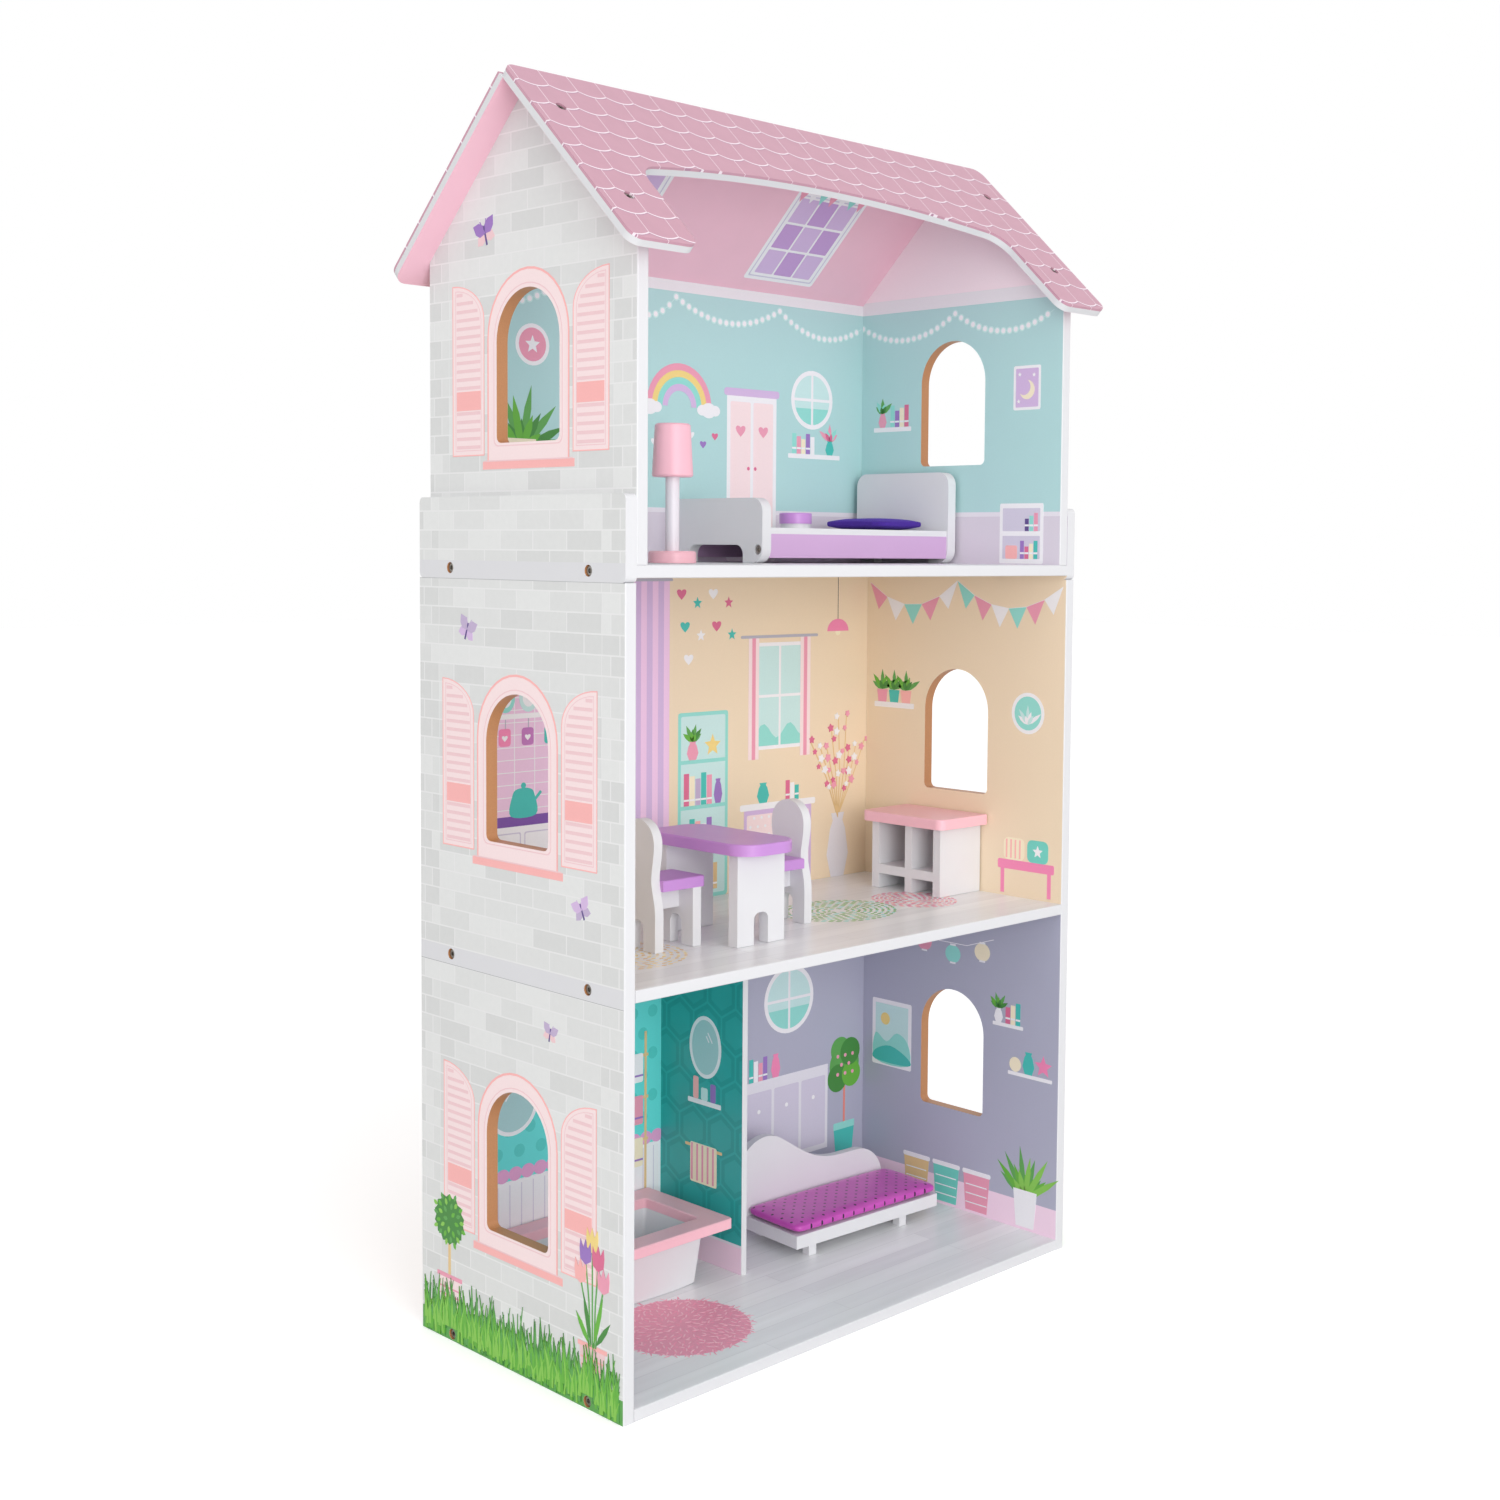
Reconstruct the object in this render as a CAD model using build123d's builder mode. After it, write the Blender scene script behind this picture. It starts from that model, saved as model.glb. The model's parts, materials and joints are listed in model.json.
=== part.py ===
from build123d import *
from math import cos, radians, sin, tan
import os

os.makedirs("parts", exist_ok=True)

# A three-storey wooden dollhouse with its loose furniture. Millimetres, X across the front,
# Y from the open front (-Y) to the back, Z up. The origin is on the ground, under the roof's middle.

# ----------------------------------------------------------------------------------------------
# Driving dimensions: house
# ----------------------------------------------------------------------------------------------
house_width = 600.0          # over the outer faces of the side walls
house_depth = 297.0          # front edge to back edge of walls and floors
wall = 12.0                  # side walls, parapets and gable walls
floor_board = 11.0           # base, middle and attic floors
wall_panel_height = 354.0    # one side wall panel, the same in both lower storeys
floor_lift = 4.0             # a floor's underside above the joint between two wall panels
parapet_height = 73.5        # strip of side wall that stands round the attic floor
parapet_corner = 5.0
edge_softening = 1.2         # rounding of the painted front edges
edge_bevel = 0.9             # bevel of the furniture's painted edges

window_width = 90.5
window_height = 133.5
window_corner = 6.0
window_sill = 120.5          # above the bottom edge of a wall panel
attic_window_sill = 105.5    # above the attic floor

back_board = 5.0             # thin back panels, held in grooves
back_panel_inset = 13.9      # from the house's rear edge to the back panels' room side
groove_depth = 4.0
floor_groove_depth = 3.0
groove_play = 0.4            # added to a board's thickness for its groove
groove_end_play = 0.5        # left empty at the bottom of a groove

partition_board = 7.0
partition_front = 10.0       # Y of the front edge of the wall between the lower rooms

# Roof
roof_pitch = 43.2            # degrees
gable_apex = 1136.0          # height of the gable walls' tip
roof_board = 9.0
roof_overhang = 14.0         # past the walls' outer faces at each end
roof_slope = 231.0           # along the underside, from the gable apex to the eave
roof_corner = 12.0
cutout_margin = 33.0         # from a gable wall's inner face to the cut-out's side
cutout_crown = 95.0          # down the slope from the apex to the cut-out's highest point
cutout_shoulder = 121.0      # the same at the two upper corners
cutout_corner = 26.0

# Fasteners
screw_diameter = 5.0
screw_head_diameter = 8.0
screw_head_height = 2.5
screw_recess = 1.5           # head below the board's face
socket_radius = 2.2          # hexagon in the screw head
socket_depth = 1.8
screw_bite = 26.0            # length in the second board
screw_hole_diameter = 10.0   # counterbore round the head
screw_play = 0.2
bite_play = 1.0              # spare depth of a blind screw hole
wall_screw_offset = 100.0    # from the middle of the depth
base_screw_height = 6.5
roof_screw_upper = 46.0      # down the slope
roof_screw_lower = 170.5
attic_screw_offset = 60.0
dowel_diameter = 6.0
dowel_length = 24.0
dowel_offset = 62.0          # from the middle of the depth
dowel_play = 0.2             # added to a dowel's diameter for its hole
dowel_end_play = 1.0

# Furniture stands this far above its floor, so that it slides out of the open front
rest_gap = 0.3

# ----------------------------------------------------------------------------------------------
# Driving dimensions: furniture
# ----------------------------------------------------------------------------------------------
# Bed, on the attic floor, with its head towards the right wall
bed_wall_gap = 5.0           # between headboard and wall
bed_back_gap = 9.6           # between the bed and the back panel
bed_length = 286.0
bed_width = 135.0
bed_board = 12.0
headboard_height = 97.5
footboard_height = 63.5
bed_corner = 14.0
bed_arch_width = 80.0
bed_arch_height = 17.5
bed_arch_corner = 10.0
rail_thickness = 9.0
rail_height = 23.5
rail_clearance = 5.0         # from the floor to the rail
rail_inset = 2.0             # from the end boards' edges
bed_base_board = 6.0
bed_bolt_height = 13.0
bed_bolt_bite = 18.0

# Pillow and round trinket box, on the bed
pillow_length = 90.0
pillow_width = 70.0
pillow_thickness = 13.0
pillow_head_gap = 9.0        # from the headboard
pillow_corner = 18.0
pillow_round = 5.0
box_diameter = 30.6
box_base_height = 8.0
box_hollow_diameter = 25.0
box_floor = 2.0
box_lid_diameter = 33.4
box_lid_height = 11.0
box_skirt_height = 3.0       # the lid's rim, outside the base
box_skirt_play = 0.4
box_seat_gap = 0.1           # between base and lid
box_edge = 0.8
box_from_footboard = 94.0    # to its middle
box_from_front = 62.0

# Lamp, on the attic floor
lamp_x = -130.0
lamp_y = -10.0
lamp_base_diameter = 44.5
lamp_base_height = 11.0
lamp_post_diameter = 13.0
lamp_shade_bottom = 38.5
lamp_shade_top = 33.0
lamp_shade_height = 49.0
lamp_height = 128.5
lamp_socket = 7.0            # how far the post stands in base and shade
lamp_edge = 1.5

# Table, on the middle floor
table_left = -117.5
table_front = -99.5
table_width = 73.0
table_length = 148.0
table_height = 97.0
table_board = 11.0
table_corner = 25.0
table_edge = 2.0
table_leg_width = 60.0
table_leg_thickness = 12.0
table_leg_inset = 18.0       # from each end of the top
table_notch_width = 18.0
table_notch_height = 30.0
table_notch_corner = 7.0
table_tenon_width = 44.0
table_tenon_height = 5.0

# Two chairs, on the middle floor, facing each other
chair_left_back = -182.0     # X of the left chair's outer back face
chair_left_middle = -24.0    # Y of its middle
chair_right_back = 26.0
chair_right_middle = -16.5
chair_height = 121.0
chair_base_width = 49.0
chair_waist_width = 38.0
chair_waist_height = 67.0
chair_head_width = 45.0
chair_foot_height = 32.0     # straight part of the back's sides
chair_back_board = 10.0
chair_leg_board = 10.0
chair_arch_width = 16.0
chair_arch_height = 28.0
chair_seat_length = 52.0
chair_seat_width = 48.0
chair_seat_board = 10.0
chair_seat_top = 65.0
chair_seat_overhang = 6.0    # in front of the front leg
chair_seat_corner = 4.0
chair_rail_board = 8.0
chair_rail_height = 20.0

# Bench with two compartments, on the middle floor, against the right wall
bench_wall_gap = 1.5
bench_front = -38.0
bench_depth = 65.5
bench_length = 98.5
bench_side_board = 10.0
bench_divider_board = 9.5
bench_divider_middle = 7.5   # Y
bench_shelf_board = 10.0
bench_shelf_clearance = 16.0
bench_top_board = 11.0
bench_height = 84.3
bench_overhang = 9.0
bench_corner = 9.0
bench_halving_play = 0.1

# Bathtub, on the base floor
tub_wall_gap = 21.0          # between the rim and the left wall
tub_back_gap = 2.6           # between the rim and the back panel
tub_partition_gap = 19.5     # between the rim and the partition
tub_length = 230.0
tub_width = 130.0
tub_height = 65.5
tub_rim_board = 10.0
tub_rim_width = 24.0
tub_rim_corner = 4.0
tub_wall = 4.0
tub_end_taper = 7.0          # each end leans in by this much from rim to floor
tub_side_taper = 4.0
tub_floor = 6.0
tub_corner = 5.0
tub_foot_bevel = 2.0

# Sofa, on the base floor, turned a little
sofa_x = 49.5                # front left corner of the seat board
sofa_y = -1.0
sofa_turn = -3.1             # degrees
sofa_length = 204.0
sofa_depth = 91.0
sofa_seat_board = 13.5
sofa_leg = 10.0
sofa_leg_height = 11.7
sofa_leg_left = 24.0         # middle of the left legs from the left end
sofa_leg_right = 50.0        # middle of the right legs from the right end
sofa_leg_inset = 3.0         # from the front and back edges
sofa_back_board = 9.0
sofa_back_height = 79.5      # the hump's top above the seat board
sofa_back_low = 38.5         # the low end, also the radius of its rounded corner
sofa_back_length = 198.5
sofa_hump_middle = 28.0
sofa_hump_radius = 39.0
sofa_hump_fall = 30.0        # degrees past the top, where the hump's arc runs out
sofa_low_start = 134.0
cushion_thickness = 12.5
cushion_side_gap = 1.0
cushion_back_gap = 1.0
cushion_round = 4.5
cushion_corner = 12.0

# ----------------------------------------------------------------------------------------------
# Heights and faces that follow from them
# ----------------------------------------------------------------------------------------------
half_width = house_width / 2
half_depth = house_depth / 2
inner_half_width = half_width - wall
attic_half_width = inner_half_width - wall
inner_width = 2 * inner_half_width
roof_length = house_width + 2 * roof_overhang
cutout_half_width = attic_half_width - cutout_margin
back_panel_face = half_depth - back_panel_inset

joint_1 = wall_panel_height
joint_2 = 2 * wall_panel_height
parapet_top = joint_2 + parapet_height
middle_underside = joint_1 + floor_lift
attic_underside = joint_2 + floor_lift
base_top = floor_board
middle_top = middle_underside + floor_board
attic_top = attic_underside + floor_board

slope_cos = cos(radians(roof_pitch))
slope_sin = sin(radians(roof_pitch))
slope_tan = tan(radians(roof_pitch))
eave_height = gable_apex - half_depth * slope_tan
# The front roof panel runs on past the apex, just far enough to cover the rear panel's top end.
ridge_lap = roof_board * (slope_tan + cos(radians(2 * roof_pitch)) / sin(radians(2 * roof_pitch)))
front_slope = Plane(
    origin=(0, 0, gable_apex), x_dir=(1, 0, 0), z_dir=(0, -slope_sin, slope_cos)
)
rear_slope = Plane(
    origin=(0, 0, gable_apex), x_dir=(-1, 0, 0), z_dir=(0, slope_sin, slope_cos)
)

bed_right = attic_half_width - bed_wall_gap
bed_left = bed_right - bed_length
bed_back = back_panel_face - bed_back_gap
bed_front = bed_back - bed_width
bed_middle_y = bed_front + bed_width / 2
bed_floor = attic_top + rest_gap
bed_base_underside = bed_floor + rail_clearance + rail_height
bed_top = bed_base_underside + bed_base_board
tub_left = -inner_half_width + tub_wall_gap
tub_x = tub_left + tub_length / 2
tub_y = back_panel_face - tub_back_gap - tub_width / 2
partition_left = tub_left + tub_length + tub_partition_gap
partition_middle = partition_left + partition_board / 2
middle_rest = middle_top + rest_gap
base_rest = base_top + rest_gap

screw_seat = screw_head_height + screw_recess
screw_hole_radius = screw_diameter / 2 + screw_play
back_groove = back_board + groove_play
back_panel_middle = back_panel_face + back_board / 2
wall_screw_heights = (
    base_screw_height,
    middle_underside + floor_board / 2,
    attic_underside + floor_board / 2,
)
wall_screw_spots = [
    Plane(origin=(side * half_width, side_y, height), z_dir=(side, 0, 0))
    for side in (-1, 1)
    for side_y in (-wall_screw_offset, wall_screw_offset)
    for height in wall_screw_heights
]
floor_end_spots = [
    Plane(origin=(side * inner_half_width, side_y, height), z_dir=(side, 0, 0))
    for side in (-1, 1)
    for side_y in (-wall_screw_offset, wall_screw_offset)
    for height in wall_screw_heights
]
gable_middle = attic_half_width + wall / 2
attic_screw_spots = [
    Plane(origin=(side * gable_middle, side_y, attic_underside), x_dir=(1, 0, 0), z_dir=(0, 0, -1))
    for side in (-1, 1)
    for side_y in (-attic_screw_offset, attic_screw_offset)
]
gable_foot_spots = [
    Plane(origin=(side * gable_middle, side_y, attic_top), x_dir=(1, 0, 0), z_dir=(0, 0, -1))
    for side in (-1, 1)
    for side_y in (-attic_screw_offset, attic_screw_offset)
]
roof_screw_places = [
    (side * gable_middle, -down) for side in (-1, 1) for down in (roof_screw_upper, roof_screw_lower)
]
dowel_spots = [
    (side * (half_width - wall / 2), side_y, joint)
    for side in (-1, 1)
    for side_y in (-dowel_offset, dowel_offset)
    for joint in (joint_1, joint_2)
]


def slope_spots(slope, lift):
    """The roof screws' places on one slope, lift above the roof panel's underside."""
    return [Plane(slope.offset(lift).from_local_coords((x, y, 0)), slope.x_dir, slope.z_dir)
            for x, y in roof_screw_places]


# ----------------------------------------------------------------------------------------------
# Shared outlines and tools
# ----------------------------------------------------------------------------------------------
# Arched window: square foot with softened corners, half-round head. Its foot is on Y = 0.
window_spring = window_height - window_width / 2
with BuildSketch() as window_outline:
    with BuildLine():
        Polyline(
            (window_width / 2, window_spring),
            (window_width / 2, 0),
            (-window_width / 2, 0),
            (-window_width / 2, window_spring),
        )
        ThreePointArc(
            (-window_width / 2, window_spring),
            (0, window_height),
            (window_width / 2, window_spring),
        )
    make_face()
    fillet(window_outline.vertices().group_by(Axis.Y)[0], radius=window_corner)


def make_screw(first_board, bite):
    """One furniture screw, its recessed head's board face on Z = 0 and its shank down -Z."""
    shank_length = first_board - screw_seat + bite
    with BuildPart() as screw:
        with BuildSketch(Plane.XY.offset(-screw_seat)):
            Circle(screw_head_diameter / 2)
        extrude(amount=screw_head_height)
        with BuildSketch(Plane.XY.offset(-screw_recess)):
            RegularPolygon(radius=socket_radius, side_count=6)
        extrude(amount=-socket_depth, mode=Mode.SUBTRACT)
        with BuildSketch(Plane.XY.offset(-screw_seat)):
            Circle(screw_diameter / 2)
        extrude(amount=-shank_length)
    return screw.part


# ----------------------------------------------------------------------------------------------
# Floors
# ----------------------------------------------------------------------------------------------
# Each row: name, underside, back panel grooves and partition grooves as (height, direction).
floor_rows = (
    ("base_floor", 0.0, [(base_top, -1)], [(base_top, -1)]),
    ("middle_floor", middle_underside, [(middle_top, -1), (middle_underside, 1)],
     [(middle_underside, 1)]),
    ("attic_floor", attic_underside, [(attic_top, -1), (attic_underside, 1)], []),
)
for floor_name, underside, back_grooves, partition_grooves in floor_rows:
    floor_screws = [s for s in floor_end_spots if 0 < s.origin.Z - underside < floor_board]
    with BuildPart() as floor:
        with BuildSketch(Plane.XY.offset(underside)):
            Rectangle(inner_width, house_depth)
        extrude(amount=floor_board)
        fillet(floor.edges().filter_by(Axis.X).group_by(Axis.Y)[0], radius=edge_softening)
        for height, direction in back_grooves:
            with BuildSketch(Plane.XY.offset(height)):
                with Locations((0, back_panel_middle)):
                    Rectangle(inner_width, back_groove)
            extrude(amount=direction * floor_groove_depth, mode=Mode.SUBTRACT)
        for height, direction in partition_grooves:
            with BuildSketch(Plane.XY.offset(height)):
                with Locations((partition_middle, (partition_front + back_panel_middle) / 2)):
                    Rectangle(partition_board + groove_play, back_panel_middle - partition_front)
            extrude(amount=direction * floor_groove_depth, mode=Mode.SUBTRACT)
        with Locations(*floor_screws):
            Hole(radius=screw_hole_radius, depth=screw_bite + bite_play)
        if floor_name == "attic_floor":
            with Locations(*attic_screw_spots):
                CounterBoreHole(
                    radius=screw_hole_radius,
                    counter_bore_radius=screw_hole_diameter / 2,
                    counter_bore_depth=screw_seat,
                    depth=floor_board,
                )
    floor.part.label = floor_name
    export_step(floor.part, f"parts/{floor_name}.step")

# ----------------------------------------------------------------------------------------------
# Side walls, parapets and gable walls
# ----------------------------------------------------------------------------------------------
for side, side_name in ((-1, "left"), (1, "right")):
    wall_plane = Plane.YZ.offset(min(side * half_width, side * inner_half_width))
    gable_plane = Plane.YZ.offset(min(side * inner_half_width, side * attic_half_width))
    groove_middle_x = side * (inner_half_width + groove_depth / 2)
    side_screws = [spot for spot in wall_screw_spots if spot.origin.X * side > 0]
    side_dowels = [spot for spot in dowel_spots if spot[0] * side > 0]

    for storey_name, panel_foot in (("lower", 0.0), ("middle", joint_1)):
        panel_head = panel_foot + wall_panel_height
        with BuildPart() as side_wall:
            with BuildSketch(wall_plane):
                with Locations((0, panel_foot + wall_panel_height / 2)):
                    Rectangle(house_depth, wall_panel_height)
                with Locations((0, panel_foot + window_sill)):
                    add(window_outline.sketch, mode=Mode.SUBTRACT)
            extrude(amount=wall)
            front_edges = side_wall.edges().filter_by(Axis.Z).group_by(Axis.Y)[0]
            fillet(front_edges, radius=edge_softening)
            with BuildSketch(Plane.XY.offset(panel_foot)):
                with Locations((groove_middle_x, back_panel_middle)):
                    Rectangle(groove_depth, back_groove)
            extrude(amount=wall_panel_height, mode=Mode.SUBTRACT)
            with Locations(*[s for s in side_screws if panel_foot < s.origin.Z < panel_head]):
                CounterBoreHole(
                    radius=screw_hole_radius,
                    counter_bore_radius=screw_hole_diameter / 2,
                    counter_bore_depth=screw_seat,
                    depth=wall,
                )
            with Locations(*[d for d in side_dowels if panel_foot <= d[2] <= panel_head]):
                Cylinder(
                    (dowel_diameter + dowel_play) / 2, dowel_length + dowel_end_play, mode=Mode.SUBTRACT
                )
        side_wall.part.label = f"{side_name}_wall_{storey_name}"
        export_step(side_wall.part, f"parts/{side_name}_wall_{storey_name}.step")

    with BuildPart() as parapet:
        with BuildSketch(wall_plane) as parapet_outline:
            with Locations((0, joint_2 + parapet_height / 2)):
                Rectangle(house_depth, parapet_height)
            fillet(parapet_outline.vertices().group_by(Axis.Z)[-1], radius=parapet_corner)
        extrude(amount=wall)
        # The middle back panel's upper edge reaches a little above the joint.
        panel_head = attic_underside + floor_groove_depth
        with BuildSketch(Plane.XY.offset(joint_2)):
            with Locations((groove_middle_x, back_panel_middle)):
                Rectangle(groove_depth, back_groove)
        extrude(amount=panel_head - joint_2, mode=Mode.SUBTRACT)
        with Locations(*[s for s in side_screws if s.origin.Z > joint_2]):
            CounterBoreHole(
                radius=screw_hole_radius,
                counter_bore_radius=screw_hole_diameter / 2,
                counter_bore_depth=screw_seat,
                depth=wall,
            )
        with Locations(*[d for d in side_dowels if d[2] >= joint_2]):
            Cylinder((dowel_diameter + dowel_play) / 2, dowel_length + dowel_end_play, mode=Mode.SUBTRACT)
    parapet.part.label = f"{side_name}_parapet"
    export_step(parapet.part, f"parts/{side_name}_parapet.step")

    with BuildPart() as gable_wall:
        with BuildSketch(gable_plane):
            with BuildLine():
                Polyline(
                    (-half_depth, attic_top),
                    (half_depth, attic_top),
                    (half_depth, eave_height),
                    (0, gable_apex),
                    (-half_depth, eave_height),
                    close=True,
                )
            make_face()
            with Locations((0, attic_top + attic_window_sill)):
                add(window_outline.sketch, mode=Mode.SUBTRACT)
        extrude(amount=wall)
        front_edges = gable_wall.edges().filter_by(Axis.Z).group_by(Axis.Y)[0]
        fillet(front_edges, radius=edge_softening)
        with BuildSketch(Plane.XY.offset(attic_top)):
            with Locations((side * (attic_half_width + groove_depth / 2), back_panel_middle)):
                Rectangle(groove_depth, back_groove)
        extrude(amount=gable_apex - attic_top, mode=Mode.SUBTRACT)
        with Locations(*[s for s in gable_foot_spots if s.origin.X * side > 0]):
            Hole(radius=screw_hole_radius, depth=screw_bite + bite_play)
        roof_spots = slope_spots(front_slope, 0) + slope_spots(rear_slope, 0)
        with Locations(*[s for s in roof_spots if s.origin.X * side > 0]):
            Hole(radius=screw_hole_radius, depth=screw_bite + bite_play)
    gable_wall.part.label = f"{side_name}_gable_wall"
    export_step(gable_wall.part, f"parts/{side_name}_gable_wall.step")

# ----------------------------------------------------------------------------------------------
# Back panels and room partition
# ----------------------------------------------------------------------------------------------
floor_tongue = floor_groove_depth - groove_end_play
wall_tongue = groove_depth - groove_end_play
for storey_name, room_floor, room_ceiling in (
    ("lower", base_top, middle_underside),
    ("middle", middle_top, attic_underside),
):
    with BuildPart() as back_panel:
        with BuildSketch(Plane.XY.offset(room_floor - floor_tongue)):
            with Locations((0, back_panel_middle)):
                Rectangle(inner_width + 2 * wall_tongue, back_board)
        extrude(amount=room_ceiling - room_floor + 2 * floor_tongue)
    back_panel.part.label = f"back_panel_{storey_name}"
    export_step(back_panel.part, f"parts/back_panel_{storey_name}.step")

# The attic panel's top edge is planed to the slope of the rear roof panel.
panel_back_face = back_panel_face + back_board
with BuildPart() as back_panel_attic:
    with BuildSketch(Plane.YZ):
        with BuildLine():
            Polyline(
                (back_panel_face, attic_top - floor_tongue),
                (panel_back_face, attic_top - floor_tongue),
                (panel_back_face, gable_apex - panel_back_face * slope_tan),
                (back_panel_face, gable_apex - back_panel_face * slope_tan),
                close=True,
            )
        make_face()
    extrude(amount=attic_half_width + wall_tongue, both=True)
back_panel_attic.part.label = "back_panel_attic"
export_step(back_panel_attic.part, "parts/back_panel_attic.step")

with BuildPart() as room_partition:
    with BuildSketch(Plane.XY.offset(base_top - floor_tongue)):
        with Locations((partition_middle, (partition_front + back_panel_face) / 2)):
            Rectangle(partition_board, back_panel_face - partition_front)
    extrude(amount=middle_underside - base_top + 2 * floor_tongue)
    fillet(
        room_partition.edges().filter_by(Axis.Z).group_by(Axis.Y)[0], radius=edge_softening
    )
room_partition.part.label = "room_partition"
export_step(room_partition.part, "parts/room_partition.step")

# ----------------------------------------------------------------------------------------------
# Roof
# ----------------------------------------------------------------------------------------------
# The front panel has a wide cut-out with a low crown, so that it stands on two broad feet.
with BuildPart() as roof_front:
    with BuildSketch(front_slope) as roof_outline:
        with Locations((0, (ridge_lap - roof_slope) / 2)):
            RectangleRounded(roof_length, roof_slope + ridge_lap, roof_corner)
        with BuildSketch(mode=Mode.SUBTRACT) as cutout:
            with BuildLine():
                Polyline(
                    (-cutout_half_width, -cutout_shoulder),
                    (-cutout_half_width, -roof_slope - roof_corner),
                    (cutout_half_width, -roof_slope - roof_corner),
                    (cutout_half_width, -cutout_shoulder),
                )
                ThreePointArc(
                    (cutout_half_width, -cutout_shoulder),
                    (0, -cutout_crown),
                    (-cutout_half_width, -cutout_shoulder),
                )
            make_face()
            upper_corners = [v for v in cutout.vertices() if v.Y > -roof_slope]
            fillet(upper_corners, radius=cutout_corner)
        foot_tips = [
            v for v in roof_outline.vertices()
            if abs(abs(v.X) - cutout_half_width) < 1 and v.Y < -roof_slope + 1
        ]
        fillet(foot_tips, radius=roof_corner)
    extrude(amount=roof_board)
    with Locations(*slope_spots(front_slope, roof_board)):
        CounterBoreHole(
            radius=screw_hole_radius,
            counter_bore_radius=screw_hole_diameter / 2,
            counter_bore_depth=screw_seat,
            depth=roof_board,
        )
roof_front.part.label = "roof_front"
export_step(roof_front.part, "parts/roof_front.step")

# The rear panel's top end is bevelled to lie against the front panel's underside.
with BuildPart() as roof_rear:
    with BuildSketch(rear_slope) as rear_outline:
        with Locations((0, -roof_slope / 2 + ridge_lap / 2)):
            Rectangle(roof_length, roof_slope + ridge_lap)
        fillet(
            [v for v in rear_outline.vertices() if v.Y < -roof_slope / 2], radius=roof_corner
        )
    extrude(amount=roof_board)
    split(bisect_by=front_slope, keep=Keep.BOTTOM)
    with Locations(*slope_spots(rear_slope, roof_board)):
        CounterBoreHole(
            radius=screw_hole_radius,
            counter_bore_radius=screw_hole_diameter / 2,
            counter_bore_depth=screw_seat,
            depth=roof_board,
        )
roof_rear.part.label = "roof_rear"
export_step(roof_rear.part, "parts/roof_rear.step")

# ----------------------------------------------------------------------------------------------
# House fasteners
# ----------------------------------------------------------------------------------------------
wall_screw = make_screw(wall, screw_bite)
with BuildPart() as wall_screws:
    with Locations(*wall_screw_spots):
        add(wall_screw)
wall_screws.part.label = "wall_screws"
export_step(wall_screws.part, "parts/wall_screws.step")

roof_screw = make_screw(roof_board, screw_bite)
with BuildPart() as roof_screws:
    with Locations(*slope_spots(front_slope, roof_board), *slope_spots(rear_slope, roof_board)):
        add(roof_screw)
roof_screws.part.label = "roof_screws"
export_step(roof_screws.part, "parts/roof_screws.step")

attic_screw = make_screw(floor_board, screw_bite)
with BuildPart() as attic_screws:
    with Locations(*attic_screw_spots):
        add(attic_screw)
attic_screws.part.label = "attic_screws"
export_step(attic_screws.part, "parts/attic_screws.step")

with BuildPart() as wall_dowels:
    with Locations(*dowel_spots):
        Cylinder(dowel_diameter / 2, dowel_length)
wall_dowels.part.label = "wall_dowels"
export_step(wall_dowels.part, "parts/wall_dowels.step")

# ----------------------------------------------------------------------------------------------
# Bed
# ----------------------------------------------------------------------------------------------
for board_name, board_x, board_height, outward in (
    ("bed_footboard", bed_left, footboard_height, -1),
    ("bed_headboard", bed_right - bed_board, headboard_height, 1),
):
    outer_face = bed_left if outward < 0 else bed_right
    bolt_spots = [
        Plane(origin=(outer_face, bolt_y, bed_floor + bed_bolt_height), z_dir=(outward, 0, 0))
        for bolt_y in (
            bed_front + rail_inset + rail_thickness / 2,
            bed_back - rail_inset - rail_thickness / 2,
        )
    ]
    with BuildPart() as end_board:
        with BuildSketch(Plane.YZ.offset(board_x)) as board_outline:
            with Locations((bed_middle_y, bed_floor + board_height / 2)):
                Rectangle(bed_width, board_height)
            fillet(board_outline.vertices().group_by(Axis.Z)[-1], radius=bed_corner)
            with BuildSketch(mode=Mode.SUBTRACT) as arch:
                with Locations((bed_middle_y, bed_floor)):
                    Rectangle(bed_arch_width, 2 * bed_arch_height)
                fillet(arch.vertices().group_by(Axis.Y)[-1], radius=bed_arch_corner)
        extrude(amount=bed_board)
        with Locations(*bolt_spots):
            CounterBoreHole(
                radius=screw_hole_radius,
                counter_bore_radius=screw_hole_diameter / 2,
                counter_bore_depth=screw_seat,
                depth=bed_board,
            )
    end_board.part.label = board_name
    export_step(end_board.part, f"parts/{board_name}.step")

rail_length = bed_length - 2 * bed_board
rail_middle_x = bed_left + bed_length / 2
for rail_name, rail_y in (
    ("bed_rail_front", bed_front + rail_inset + rail_thickness / 2),
    ("bed_rail_back", bed_back - rail_inset - rail_thickness / 2),
):
    rail_end_spots = [
        Plane(
            origin=(rail_middle_x + end * rail_length / 2, rail_y, bed_floor + bed_bolt_height),
            z_dir=(end, 0, 0),
        )
        for end in (-1, 1)
    ]
    with BuildPart() as rail:
        with BuildSketch(Plane.XY.offset(bed_floor + rail_clearance)):
            with Locations((rail_middle_x, rail_y)):
                Rectangle(rail_length, rail_thickness)
        extrude(amount=rail_height)
        with Locations(*rail_end_spots):
            Hole(radius=screw_hole_radius, depth=bed_bolt_bite + bite_play)
    rail.part.label = rail_name
    export_step(rail.part, f"parts/{rail_name}.step")

with BuildPart() as bed_base:
    with BuildSketch(Plane.XY.offset(bed_base_underside)):
        with Locations((rail_middle_x, bed_middle_y)):
            Rectangle(rail_length, bed_width - 2 * rail_inset)
    extrude(amount=bed_base_board)
bed_base.part.label = "bed_base"
export_step(bed_base.part, "parts/bed_base.step")

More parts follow.
